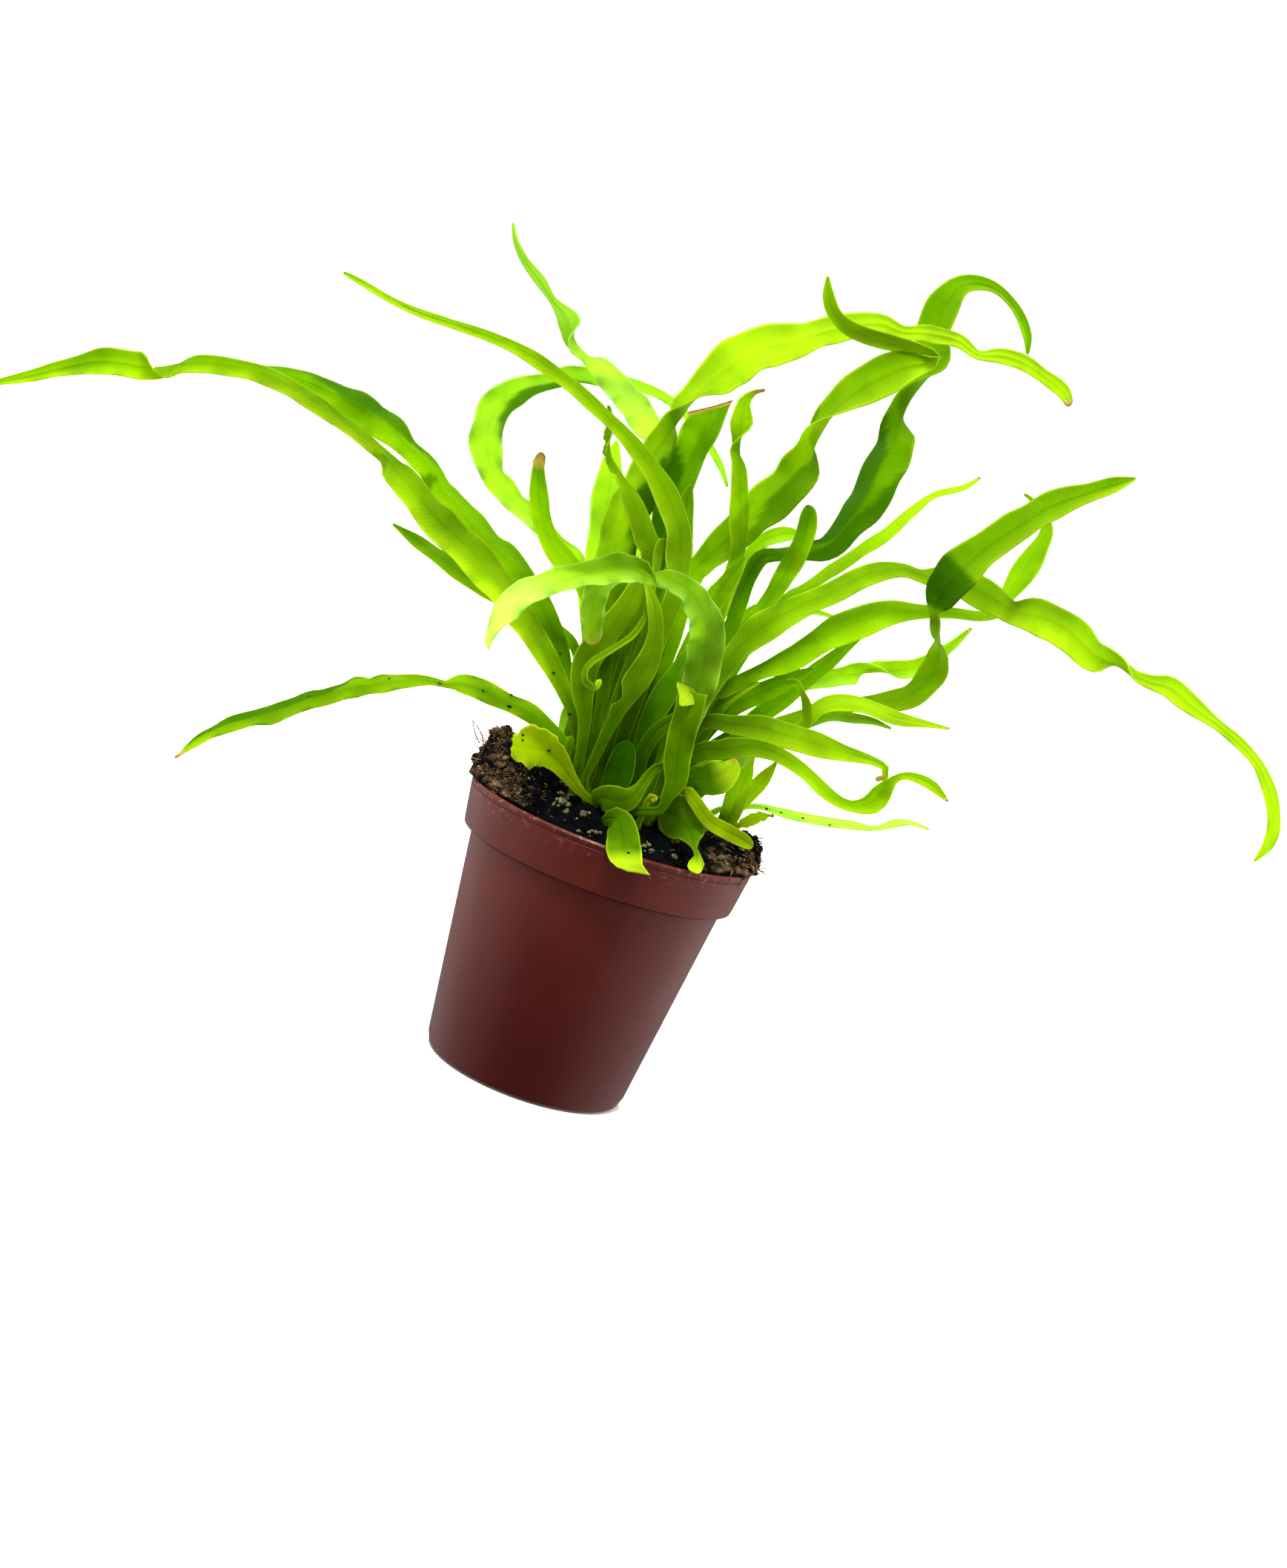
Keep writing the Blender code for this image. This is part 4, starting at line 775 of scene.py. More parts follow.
def finish_piece(name: str, shape: bmesh.types.BMesh, finish: bpy.types.Material,
                 replaces: str | None = None) -> bpy.types.Object:
    """Turns a bmesh in millimetres into a piece that rides with the pot.

    Args:
        name: The piece's name.
        shape: Its mesh, which is freed.
        finish: Its material.
        replaces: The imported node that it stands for, if any.

    Returns:
        The piece.
    """
    piece = add_model(name, shape)
    piece.data.materials.append(finish)
    piece.data.shade_smooth()
    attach(piece, BODY)
    if replaces:
        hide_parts(replaces)
    log.info("%s: %d faces", name, len(piece.data.polygons))
    return piece


def heaped(x: float, y: float, mounds: tuple) -> float:
    """Gives the height that round mounds add at a place.

    Args:
        x: Millimetres to the right.
        y: Millimetres to the back.
        mounds: The mounds, each as x, y, size and rise.

    Returns:
        The height in millimetres.
    """
    return sum(rise * math.exp(-((x - across) ** 2 + (y - along) ** 2) / (2 * size**2))
               for across, along, size, rise in mounds)


@dataclass(frozen=True)
class Ground:
    """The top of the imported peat: crumbs, two lumps at the rim, one in front and the raised crown.

    A lump is its x, y, size and rise in millimetres.
    """

    level: float = 53.0
    crown_height: float = 6.8
    crown_centre: tuple = (1.5, -0.5)
    crown_reach: float = 19.5
    left_lump: tuple = (-26.5, -6.0, 5.6, 12.0)
    middle_lump: tuple = (-18.0, -12.5, 3.4, 4.0)
    right_lump: tuple = (27.5, -4.5, 4.4, 7.6)
    crumb: float = 0.7
    crumb_size: float = 3.1

    def top(self, x: float, y: float) -> float:
        """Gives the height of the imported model's peat.

        Args:
            x: Millimetres to the right.
            y: Millimetres to the back.

        Returns:
            The height in millimetres.
        """
        height = self.level + self.crumb * noise.noise(Vector((x, y, 4.0)) / self.crumb_size)
        height += heaped(x, y, (self.left_lump, self.middle_lump, self.right_lump))
        reach = math.dist((x, y), self.crown_centre) / self.crown_reach
        return height + self.crown_height * math.exp(-(reach**6))


GROUND = Ground()


@dataclass
class Row:
    """One cross-section of a blade: its centre, width, turn in radians and way from the root."""

    centre: Vector
    width: float
    turn: float
    along: float = 0.0


def between(values: tuple, share: float) -> float | Vector:
    """Follows a Catmull-Rom curve from the second of four values to the third.

    Args:
        values: Four values in a row.
        share: The share of the way.

    Returns:
        The value there.
    """
    first, start, end, last = values
    return 0.5 * (
        2 * start + (end - first) * share + (2 * first - 5 * start + 4 * end - last) * share**2
        + (3 * start - 3 * end + last - first) * share**3
    )


def spread(values: tuple, share: float) -> float:
    """Finds the value at a share of the way through evenly spaced values.

    Args:
        values: The values.
        share: From 0 to 1.

    Returns:
        The value there.
    """
    place = share * (len(values) - 1)
    before = min(int(place), len(values) - 2)
    return values[before] + (values[before + 1] - values[before]) * (place - before)


def smooth(share: float) -> float:
    """Eases a share in and out between 0 and 1."""
    share = min(max(share, 0.0), 1.0)
    return share * share * (3 - 2 * share)


@dataclass(frozen=True)
class Waver:
    """A smooth random wave along a blade, unlike on its two halves and from blade to blade."""

    length: float
    apart: float
    seeds: float = 1.0

    def at(self, along: float, side: int, seed: int) -> float:
        """Gives the wave's height, from about -1 to 1."""
        return noise.noise(Vector((along / self.length, side * self.apart, seed * self.seeds)))


@dataclass
class Blade:
    """One frond's living blade: a thin strip with a sunk midrib, waved margins and a soft tip.

    Lengths are in millimetres. columns are places across the blade, from -1 at the left margin to
    1 at the right. A field that ends in _full is how far from the root its effect is whole.
    """

    frond: Frond
    dress: Dress
    seed: int
    columns: tuple = (-1.0, -0.9, -0.62, -0.32, -0.1, 0.0, 0.1, 0.32, 0.62, 0.9, 1.0)
    step: float = 1.3
    tip_step: float = 0.45
    tip_width: float = 0.45
    tip_round: float = 0.3
    tip_left: float = 0.02
    least_half: float = 0.08
    root_width: float = 1.8
    root_depth: float = 3.0
    lean: float = math.radians(30.0)
    lean_start: float = 22.0
    lean_full: float = 50.0
    wander: Waver = Waver(5.5, 3.1, 1.7)
    wander_share: float = 0.035
    wander_full: float = 25.0
    teeth: Waver = Waver(0.9, 5.3, 2.3)
    torn_end: float = 1.0
    tears: float = 4.2
    slant_length: float = 9.0
    ripple: float = 0.06
    ripple_length: float = 12.0
    half_lag: float = 2.1
    swell: Waver = Waver(9.0, 2.0)
    ruffle_full: float = 30.0
    groove: float = 0.16
    groove_width: float = 0.12
    groove_most: float = 1.5
    twist_fold: float = 0.75
    # Painted light and shade from the ruffles
    furl_reach: float = 4.0
    furl_most: float = 0.8
    furl_painted_light: float = 0.7
    flutter: Waver = Waver(5.0, 3.0)
    flutter_share: float = 0.6
    fade_gain: float = 1.5
    midrib_green: float = 0.2
    # Painted light on the half of a blade that faces down in the view, painted shade on the half
    # that faces up
    low_painted_light: float = 0.62
    high_painted_shade: float = 0.3
    facing_full: float = 45.0
    # Painted shade in the listed stretches: how soft their ends are, how far they slant across the
    # blade and how sharp their edge is
    shade_ends: float = 0.07
    shade_slant: float = 0.3
    shade_line: float = 4.0
    flesh: float = 0.85
    thin: float = 0.28
    rib_flesh: float = 0.55
    rib_width: float = 0.16
    rib_end: float = 20.0
    root_flesh: float = 6.0
    root_fade: float = 18.0

    def controls(self) -> list[tuple[Vector, float, float]]:
        """Places the route in space.

        Returns:
            The point, width and turn in degrees of the two root points and of the route.
        """
        x, y = self.frond.root
        top = GROUND.top(x, y)
        found = [(Vector((x, y, top - self.root_depth)), self.root_width, 0.0),
                 (Vector((x, y, top)), self.root_width, 0.0)]
        route = self.frond.route
        spans = [math.dist(a[:2], b[:2]) for a, b in zip(route, route[1:])]
        turn = 0.0
        for index, (right, up, *rest) in enumerate(route):
            depth = spread(self.frond.depths, sum(spans[:index]) / sum(spans))
            width = rest[0] if rest else self.tip_width
            turn = rest[1] if len(rest) > 1 else turn
            nearer = (VIEW.distance - depth) / VIEW.distance
            found.append((VIEW.placed(right, up, depth), width * nearer, turn))
        return found

    def rows(self) -> list[Row]:
        """Cuts the route into cross-sections, closer together at the tip.

        Returns:
            The cross-sections from root to tip.
        """
        controls = self.controls()
        last = len(controls) - 1
        found = []
        for index, (start, end) in enumerate(zip(controls, controls[1:])):
            four = (controls[max(index - 1, 0)], start, end, controls[min(index + 2, last)])
            step = self.tip_step if index == last - 1 or self.dress.ragged else self.step
            count = max(1, round((end[0] - start[0]).length / step))
            for number in range(count):
                values = [between(kind, number / count) for kind in zip(*four)]
                found.append(Row(values[0], values[1], math.radians(values[2])))
        found.append(Row(controls[-1][0].copy(), controls[-1][1], math.radians(controls[-1][2])))
        for before, row in zip(found, found[1:]):
            row.along = before.along + (row.centre - before.centre).length
        return found

    def lean_at(self, row: Row) -> float:
        """Gives how far the face looks up and inwards.

        Args:
            row: The cross-section.

        Returns:
            The angle in radians.
        """
        rise = (row.along - self.lean_start) / (self.lean_full - self.lean_start)
        inwards = 1 if self.frond.route[-1][0] < GROUND.crown_centre[0] else -1
        return inwards * self.lean * min(max(rise, 0.0), 1.0) * math.cos(row.turn) ** 2

    def half_width(self, row: Row, side: int, left: float) -> float:
        """Gives the reach of one half of the blade.

        Args:
            row: The cross-section.
            side: -1 for the left half and 1 for the right.
            left: Millimetres left to the tip.

        Returns:
            Half the width there in millimetres.
        """
        half = max(row.width, self.tip_width) / 2
        wander = self.wander_share * self.wander.at(row.along, side, self.seed)
        half *= 1 + wander * smooth(row.along / self.wander_full)
        if not self.dress.blunt:
            into = 1 - min(left / max(half, self.tip_round), 1.0)
            half *= math.sqrt(max(1 - into**2, self.tip_left))
        share = row.along / (row.along + left)
        trims = self.dress.trims
        for (start, *before), (end, *after) in zip(trims, trims[1:]):
            if start <= share <= end:
                part = (share - start) / (end - start)
                pick = 0 if side < 0 else 1
                half *= before[pick] + (after[pick] - before[pick]) * part
        if self.dress.ragged and left < self.dress.torn:
            half += self.dress.ragged * self.teeth.at(row.along, side, self.seed)
        return max(half, self.least_half)

    def axes(self, rows: list[Row], number: int) -> tuple[Vector, Vector, Vector]:
        """Gives the directions of a cross-section.

        Args:
            rows: The cross-sections.
            number: Which of them.

        Returns:
            The ways along the blade, to its right margin and out of its face.
        """
        row, before, after = (rows[min(max(place, 0), len(rows) - 1)]
                              for place in (number, number - 1, number + 1))
        tangent = (after.centre - before.centre).normalized()
        side = tangent.cross(VIEW.eye - row.centre).normalized()
        side = Quaternion(tangent, row.turn + self.lean_at(row)) @ side
        return tangent, side, side.cross(tangent)

    def shape(self) -> bmesh.types.BMesh:
        """Sweeps the blade along its rows.

        Returns:
            An open strip with its map, its dry parts, its pale parts, which are tissue gone pale and
            painted light, its parts painted darker as painted shade, and its thickness weights.
        """
        rows = self.rows()
        length = rows[-1].along
        last_column, last_row = len(self.columns) - 1, len(rows) - 1
        shape = bmesh.new()
        blade_map = shape.loops.layers.uv.new(BLADE_MAP)
        dry_layer = shape.verts.layers.float.new(DRY_LAYER)
        pale_layer = shape.verts.layers.float.new(PALE_LAYER)
        shaded_layer = shape.verts.layers.float.new(SHADE_LAYER)
        flesh = shape.verts.layers.deform.verify()
        bmesh.ops.create_grid(shape, x_segments=last_column, y_segments=last_row, size=1.0)
        grid = {vertex: (round((vertex.co.x + 1) / 2 * last_column),
                         round((vertex.co.y + 1) / 2 * last_row)) for vertex in shape.verts}
        for face in shape.faces:
            for loop in face.loops:
                column, number = grid[loop.vert]
                across = (self.columns[column] + 1) / 2
                loop[blade_map].uv = (across, rows[number].along / MAP_LENGTH)
        for vertex, (column, number) in grid.items():
            row, across = rows[number], self.columns[column]
            tangent, side, face = self.axes(rows, number)
            left = length - row.along
            half = self.half_width(row, 1 if across > 0 else -1, left) / math.cos(self.lean_at(row))
            vertex.co = row.centre + side * across * half - face * self.lift(row, across, half)
            slant = self.dress.slant / 2 * smooth(1 - left / self.slant_length)
            vertex.co -= tangent * across * slant
            if self.dress.ragged and left < self.torn_end:
                tear = noise.noise(Vector((across * self.tears, self.seed, 0)))
                vertex.co += tangent * self.dress.ragged * tear
            # Painted light and shade: the half of the blade that faces down in the view is painted
            # paler, the half that faces up darker
            low = -across * side.dot(VIEW.plane_up) * smooth(row.along / self.facing_full)
            # The ruffles are painted paler where they face the light behind and darker where they
            # stand steep
            furl = self.furl(row, across)
            vertex[dry_layer] = self.dryness(left, across)
            vertex[pale_layer] = max(self.tip_paleness(left), self.low_painted_light * max(low, 0.0),
                                     self.furl_painted_light * furl)
            vertex[shaded_layer] = max(self.shade_at(row.along / length, across),
                                      self.high_painted_shade * max(-low, 0.0), -furl)
            vertex[flesh][0] = self.thickness(row, across, left)
        return shape

    def lift(self, row: Row, across: float, half: float) -> float:
        """Gives how far a point of the cross-section stands behind the midrib's plane.

        Args:
            row: The cross-section.
            across: From -1 at the left margin to 1 at the right.
            half: Half the width there.

        Returns:
            The distance in millimetres.
        """
        off = abs(across)
        sign = 1 if across > 0 else -1
        packed = math.sin(2 * math.pi * row.along / self.ripple_length + sign)
        packed *= self.ripple * row.width
        own = self.dress.ruffle * row.width * smooth(row.along / self.ruffle_full)
        own *= math.sin(self.phase(row, sign)) * (0.5 + self.swell.at(row.along, sign, self.seed))
        groove = self.groove * math.exp(-((off / self.groove_width) ** 2))
        fold = self.frond.fold + self.twist_fold * math.sin(row.turn) ** 2
        return off * (fold * half + packed) + off**2 * own + groove * min(half, self.groove_most)

    def phase(self, row: Row, sign: int) -> float:
        """Gives where the ruffle of one half stands in its wave, in radians."""
        return 2 * math.pi * row.along / self.dress.wave + self.half_lag * sign + self.seed

    def furl(self, row: Row, across: float) -> float:
        """Gives how far the ruffle turns the blade to the light or away from it, as painted light
        and shade.

        Args:
            row: The cross-section.
            across: From -1 to 1.

        Returns:
            1 where it faces the light behind it and lets most through, -1 where it stands steepest.
        """
        sign = 1 if across > 0 else -1
        turn = math.cos(self.phase(row, sign))
        turn += self.flutter_share * self.flutter.at(row.along, sign, self.seed)
        most = min(self.furl_reach * self.dress.ruffle, self.furl_most)
        return turn * across**2 * most * smooth(row.along / self.ruffle_full)

    def tip_paleness(self, left: float) -> float:
        """Gives how far the tip is painted paler, from 0 to 1, at a length left to the tip: tissue
        gone pale, and a painted highlight where the pale length is short.
        """
        faded_and_lit = self.fade_gain * (1 - left / self.dress.pale) if self.dress.pale else 0.0
        return self.dress.fade * smooth(faded_and_lit)

    def dryness(self, left: float, across: float) -> float:
        """Gives how dead the tissue is, from 0 to 1.

        Args:
            left: Millimetres left to the tip.
            across: From -1 to 1.

        Returns:
            0 for living tissue and 1 for the driest.
        """
        if not self.dress.dry:
            return 0.0
        dried = self.dress.dead * max(0.0, 1 - left / self.dress.dry)
        return dried * (1 - self.midrib_green * (1 - abs(across)))

    def shade_at(self, share: float, across: float) -> float:
        """Gives how far the blade is painted darker as painted shade, from 0 to 1.

        Args:
            share: The share of the way to the tip.
            across: From -1 to 1.

        Returns:
            1 in the middle of a stretch of painted shade.
        """
        found = 0.0
        for start, end, side, amount, *ends in self.dress.shaded_stretches:
            edge = min(share - start, end - share) / (ends[0] if ends else self.shade_ends)
            edge += self.shade_slant * across
            if side:
                edge = 0.5 + self.shade_line * (side * across - 1 + min(edge, 1.0))
            found = max(found, amount * smooth(edge))
        return found

    def thickness(self, row: Row, across: float, left: float) -> float:
        """Gives the blade's thickness, from 0 where it is thin to 1.

        Args:
            row: The cross-section.
            across: From -1 to 1.
            left: Millimetres left to the tip.

        Returns:
            The weight, greatest at the root and along the midrib.
        """
        middle = self.rib_flesh * math.exp(-((across / self.rib_width) ** 2))
        root = 1 - smooth((row.along - self.root_flesh) / self.root_fade)
        return max(middle * (1 - smooth(1 - left / self.rib_end)), root)

    def build(self, finishes: dict[LeafKind, bpy.types.Material]) -> bpy.types.Object:
        """Makes the piece.

        Args:
            finishes: The leaf materials.

        Returns:
            The piece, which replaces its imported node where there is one.
        """
        name = self.frond.name
        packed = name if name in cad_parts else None
        piece = finish_piece(f"{name}_blade", self.shape(), finishes[self.frond.kind],
                             packed)
        piece.vertex_groups.new(name="flesh")
        solid = piece.modifiers.new("thickness", "SOLIDIFY")
        solid.thickness = self.flesh * MM
        solid.offset = 0.0
        solid.vertex_group = "flesh"
        solid.thickness_vertex_group = self.thin / self.flesh
        return piece


@dataclass(frozen=True)
class NurseryPot:
    """The thin nursery pot, in millimetres: a tapered body, a step, and a deep flared rim band.

    A fine line runs round the band a little under the rim, and the base stands on a raised ring.
    """

    height: float = 55.0
    rim_radius: float = 29.8
    band_radius: float = 28.6
    band_bottom: float = 45.2
    body_top: float = 26.6
    body_bottom: float = 21.2
    base_radius: float = 19.6
    base_round: float = 2.2
    hollow: float = 0.5
    foot: float = 3.6
    edge: float = 0.6
    step_in: float = 0.9
    step_up: float = 1.2
    step_bend: tuple = (0.2, 0.4)
    line_drop: float = 1.5
    line_out: float = 0.18
    line_cut: float = 0.12
    wall: float = 1.0
    floor: float = 1.2
    lip: float = 0.4
    lip_round: float = 0.3
    lip_inside: float = 0.25
    inner_round: float = 1.4
    steps: int = 144
    sharp: float = math.radians(38.0)
    drains: int = 6
    drain_radius: float = 2.4
    drain_circle: float = 13.0
    drain_turn: float = math.radians(23.0)
    drill_length: float = 6.0
    drill_sides: int = 40

    def inner_radius(self, height: float) -> float:
        """Gives the inner wall's radius.

        Args:
            height: Millimetres above the underside.

        Returns:
            The radius in millimetres.
        """
        if height < self.band_bottom + self.wall:
            share = (height - self.base_round) / (self.band_bottom - self.base_round)
            return self.body_bottom + (self.body_top - self.body_bottom) * share - self.wall
        share = (height - self.band_bottom) / (self.height - self.band_bottom)
        return self.band_radius + (self.rim_radius - self.band_radius) * share - self.wall

    def profile(self) -> list[tuple[float, float]]:
        """Draws the wall's section from the axis out, up, over the rim and back to the axis.

        Returns:
            Points as radius and height.
        """
        base, body = self.base_radius, self.body_bottom
        band, rim = self.band_radius, self.rim_radius
        bend_in, bend_up = self.step_bend
        at_line, line = rim - self.line_out, self.height - self.line_drop
        lip = self.height - self.lip
        inside = [(self.inner_radius(height), height) for height in (
            lip, self.band_bottom + self.wall, self.band_bottom + self.wall - 0.01,
            self.floor + self.inner_round)]
        return [
            (0, self.hollow), (base - self.foot - self.edge, self.hollow), (base - self.foot, 0),
            (base, 0), (body - self.edge, self.edge), (body, self.base_round),
            (self.body_top, self.band_bottom), (band - self.step_in, self.band_bottom),
            (band - bend_in, self.band_bottom + bend_up), (band, self.band_bottom + self.step_up),
            (at_line, line), (at_line - self.line_cut, line + self.line_cut),
            (at_line, line + self.lip_round), (rim, lip), (rim - self.lip_round, self.height),
            (rim - self.wall + self.lip_inside, self.height), *inside,
            (base - self.edge, self.floor), (0, self.floor),
        ]

    def build(self, finish: bpy.types.Material) -> bpy.types.Object:
        """Turns the wall, rounds its corners and drills the drains.

        Args:
            finish: The pot's plastic.

        Returns:
            The piece.
        """
        shape = bmesh.new()
        corners = [shape.verts.new((radius, 0, height)) for radius, height in self.profile()]
        edges = [shape.edges.new(pair) for pair in zip(corners, corners[1:])]
        bmesh.ops.spin(shape, geom=corners + edges, axis=(0, 0, 1), cent=(0, 0, 0),
                       angle=2 * math.pi, steps=self.steps, use_merge=True)
        bmesh.ops.remove_doubles(shape, verts=shape.verts, dist=0.0005)
        bmesh.ops.recalc_face_normals(shape, faces=shape.faces)
        pot = finish_piece("nursery_pot", shape, finish, "pot")
        for number in range(self.drains):
            angle = 2 * math.pi * number / self.drains + self.drain_turn
            place = Vector((math.cos(angle), math.sin(angle), 0)) * self.drain_circle
            drill = bmesh.new()
            bmesh.ops.create_cone(drill, cap_ends=True, segments=self.drill_sides,
                                  radius1=self.drain_radius, radius2=self.drain_radius,
                                  depth=self.drill_length, matrix=Matrix.Translation(place))
            self.drill(pot, drill)
        for polygon in pot.data.polygons:
            polygon.use_smooth = True
        pot.data.set_sharp_from_angle(angle=self.sharp)
        return pot

    def drill(self, pot: bpy.types.Object, drill: bmesh.types.BMesh) -> None:
        """Cuts a drill's shape out of the pot's mesh.

        Args:
            pot: The pot.
            drill: The drill in millimetres, which is freed.
        """
        cutter = add_model("drill", drill)
        cut = pot.modifiers.new("drain", "BOOLEAN")
        cut.operation = "DIFFERENCE"
        cut.solver = "EXACT"
        cut.object = cutter
        depsgraph = bpy.context.evaluated_depsgraph_get()
        whole = bpy.data.meshes.new_from_object(pot.evaluated_get(depsgraph))
        pot.modifiers.remove(cut)
        pot.data = whole
        bpy.data.objects.remove(cutter)


# Perlite grains as the front view shows them: right, up and size in millimetres
PERLITE_SEEN = (
    (-11.5, 56, 2.4), (-10, 55.2, 1.6), (-12.6, 55.2, 1.5), (-6, 55.6, 1.8), (-4.8, 55.2, 1),
    (-11.3, 57.8, 2), (-9.8, 57.4, 1.2), (-3, 52.6, 1.3), (-2, 53.2, 1.2), (-3.8, 51.8, 0.8),
    (8.3, 53.3, 1.6), (7.2, 53.1, 1), (-18.3, 58.4, 1.1), (-20.4, 58.8, 1), (-20.3, 55.6, 1.3),
    (-21, 55.3, 0.8), (-19.4, 54, 0.7), (-18, 57.6, 0.8), (15, 57.2, 0.9), (23, 55.8, 2),
    (24.6, 55.4, 1.4), (21.6, 55.6, 1.2), (26.3, 59.2, 1.1), (13, 54.8, 0.7), (-14.2, 57.1, 0.6),
    (-7.5, 53.8, 0.6), (-9, 52.9, 0.5), (3.2, 55, 0.7), (11.4, 53.6, 0.5), (-24.5, 54.8, 0.8),
    (-28.4, 56.8, 1.2), (-27.4, 56.2, 0.9), (-26.2, 58.8, 0.8), (-4.2, 57.2, 0.6),
)

# Long fine roots at the rim: points as right, up and depth in the front view
HAIR_ROOTS = (
    ((-30, 62.4, 4), (-31, 63.6, 4.5), (-32.4, 64.8, 5), (-34, 65.6, 5.4)),
    ((-30.5, 61.6, 5), (-31.6, 62.6, 5.4), (-33, 64.6, 6), (-33.6, 66, 6.2)),
    ((25.8, 55, 15), (25.8, 53.4, 15.8), (25.4, 51.4, 16)),
    ((28, 56, 8), (28.6, 54, 9), (28.4, 52.4, 9), (28.8, 51.6, 9)),
    ((29.6, 57.6, 5), (31, 56.9, 6), (32, 56.6, 6), (32.6, 56.8, 6)),
    ((29.8, 58, 6), (30.6, 56.4, 7), (31.6, 56, 7)),
    ((-28.6, 57, 9), (-29.8, 56.2, 10), (-31, 56.4, 10)),
    ((-29, 58.6, 8), (-30.8, 58.4, 9), (-32, 59, 9)),
)


@dataclass
class PeatBed:
    """The peat's broken surface with its crumbs, grit, fibres and hair roots, in millimetres.

    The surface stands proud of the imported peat, broken by clods and grains, and calms down from
    calm_at, a share of its reach, to its edge. A skirt closes it inside the wall. A patch is x, y
    and size, or None for the whole surface. A crumb patch adds the count and the greatest crumb,
    and a fibre patch the count and how steeply the fibres stand.
    """

    pot: NurseryPot
    gap: float = 0.4
    cells: int = 150
    proud: float = 0.35
    clod_size: float = 3.4
    clod_middle: float = 0.45
    clod_height: float = 2.1
    grain_size: float = 0.7
    grain_height: float = 0.4
    calm_at: float = 0.93
    calm_share: float = 0.3
    bank_at: float = 0.9
    spill: float = 0.4
    drop: float = 2.4
    skirt: tuple = ((0.5, 0.3), (0.9, -4.0))
    overhang: float = 2.7
    overhang_reach: float = math.radians(24.0)
    brown_patch: tuple = (-21.0, -16.0, 4.0)
    mounds: tuple = ((-17.0, -4.0, 2.8, 5.2), (22.5, 0.0, 3.2, 4.0))
    search_depth: float = 34.0
    search_step: float = 0.25
    patch_spread: float = 0.8
    scatter_radius: float = 29.0
    scatter_inset: float = 0.3
    rough: tuple = (0.65, 1.25)
    grit_nudge: float = 0.34
    grit_behind: int = 60
    outwards: float = 0.3
    sunk: float = 0.3
    root_thick: float = 0.4
    seam: float = 1e-4

    def reach(self, angle: float) -> float:
        """Gives how far the peat reaches from the axis.

        Args:
            angle: The direction in radians.

        Returns:
            The radius in millimetres, beyond the rim only at the two lumps.
        """
        most = 0.0
        for lump in (GROUND.left_lump, GROUND.right_lump):
            away = abs(math.remainder(angle - math.atan2(lump[1], lump[0]), 2 * math.pi))
            most = max(most, self.overhang * (1 - away / self.overhang_reach))
        return self.brim + most

    @property
    def brim(self) -> float:
        """The radius of the peat inside the rim."""
        return self.pot.inner_radius(self.pot.height - self.pot.lip) - self.gap

    def top(self, x: float, y: float) -> float:
        """Gives the height of the broken surface.

        Args:
            x: Millimetres to the right.
            y: Millimetres to the back.

        Returns:
            The height in millimetres.
        """
        clods = noise.turbulence(Vector((x, y, 0.5)) / self.clod_size, 4, True) - self.clod_middle
        grains = noise.noise(Vector((x, y, 9.0)) / self.grain_size)
        away = math.hypot(x, y)
        share = away / self.reach(math.atan2(y, x))
        calm = smooth((share - self.calm_at) / (1 - self.calm_at))
        height = GROUND.top(x, y) + self.proud + heaped(x, y, self.mounds)
        height += (self.clod_height * clods + self.grain_height * grains) * (
            1 - (1 - self.calm_share) * calm)
        rim = self.pot.height + (self.spill if away > self.brim - 0.2 else -self.drop)
        bank = smooth((share - self.bank_at) / (1 - self.bank_at))
        return max(rim + (height - rim) * math.sqrt(max(1 - bank**2, 0.0)), rim)

    def surface(self, finish: bpy.types.Material) -> bpy.types.Object:
        """Models the surface as a displaced disc with a skirt.

        Args:
            finish: The peat.

        Returns:
            The piece.
        """
        shape = bmesh.new()
        bmesh.ops.create_grid(shape, x_segments=self.cells, y_segments=self.cells, size=1.0)
        for vertex in shape.verts:
            u, v = vertex.co.x, vertex.co.y
            x, y = u * math.sqrt(1 - v * v / 2), v * math.sqrt(1 - u * u / 2)
            reach = self.reach(math.atan2(y, x))
            x, y = x * reach, y * reach
            vertex.co = (x, y, self.top(x, y))
        rim = [edge for edge in shape.edges if edge.is_boundary]
        for inset, above in self.skirt:
            grown = bmesh.ops.extrude_edge_only(shape, edges=rim)["geom"]
            for vertex in (item for item in grown if isinstance(item, bmesh.types.BMVert)):
                x, y, z = vertex.co
                shrink = min(1.0, (self.brim - inset) / math.hypot(x, y))
                vertex.co = (x * shrink, y * shrink, min(z, self.pot.height + above))
            rim = [item for item in grown if isinstance(item, bmesh.types.BMEdge)]
        bmesh.ops.holes_fill(shape, edges=rim, sides=0)
        bmesh.ops.recalc_face_normals(shape, faces=shape.faces)
        return finish_piece("peat_surface", shape, finish)

    def on_view(self, right: float, up: float) -> Vector:
        """Finds the point of the peat that the front view shows.

        Args:
            right: Millimetres to the right of the pot's axis.
            up: Millimetres above the pot's underside.

        Returns:
            The point in millimetres.
        """
        depth = self.search_depth
        point = VIEW.placed(right, up, depth)
        while depth > -self.search_depth and not self.covers(point):
            depth -= self.search_step
            point = VIEW.placed(right, up, depth)
        return point

    def covers(self, point: Vector) -> bool:
        """Tells whether a point is in the peat."""
        within = math.hypot(point.x, point.y) < self.reach(math.atan2(point.y, point.x))
        return within and point.z <= self.top(point.x, point.y)

    def scattered(self, chance: random.Random, count: int, near: tuple | None) -> list[Vector]:
        """Picks points on the peat.

        Args:
            chance: The seeded source of chance.
            count: How many.
            near: The patch to gather round.

        Returns:
            The points in millimetres.
        """
        found = []
        while len(found) < count:
            if near:
                x, y = (chance.gauss(centre, near[2] * self.patch_spread) for centre in near[:2])
            else:
                x, y = (chance.uniform(-self.scatter_radius, self.scatter_radius) for _ in range(2))
            if math.hypot(x, y) < self.reach(math.atan2(y, x)) - self.scatter_inset:
                found.append(Vector((x, y, self.top(x, y))))
        return found

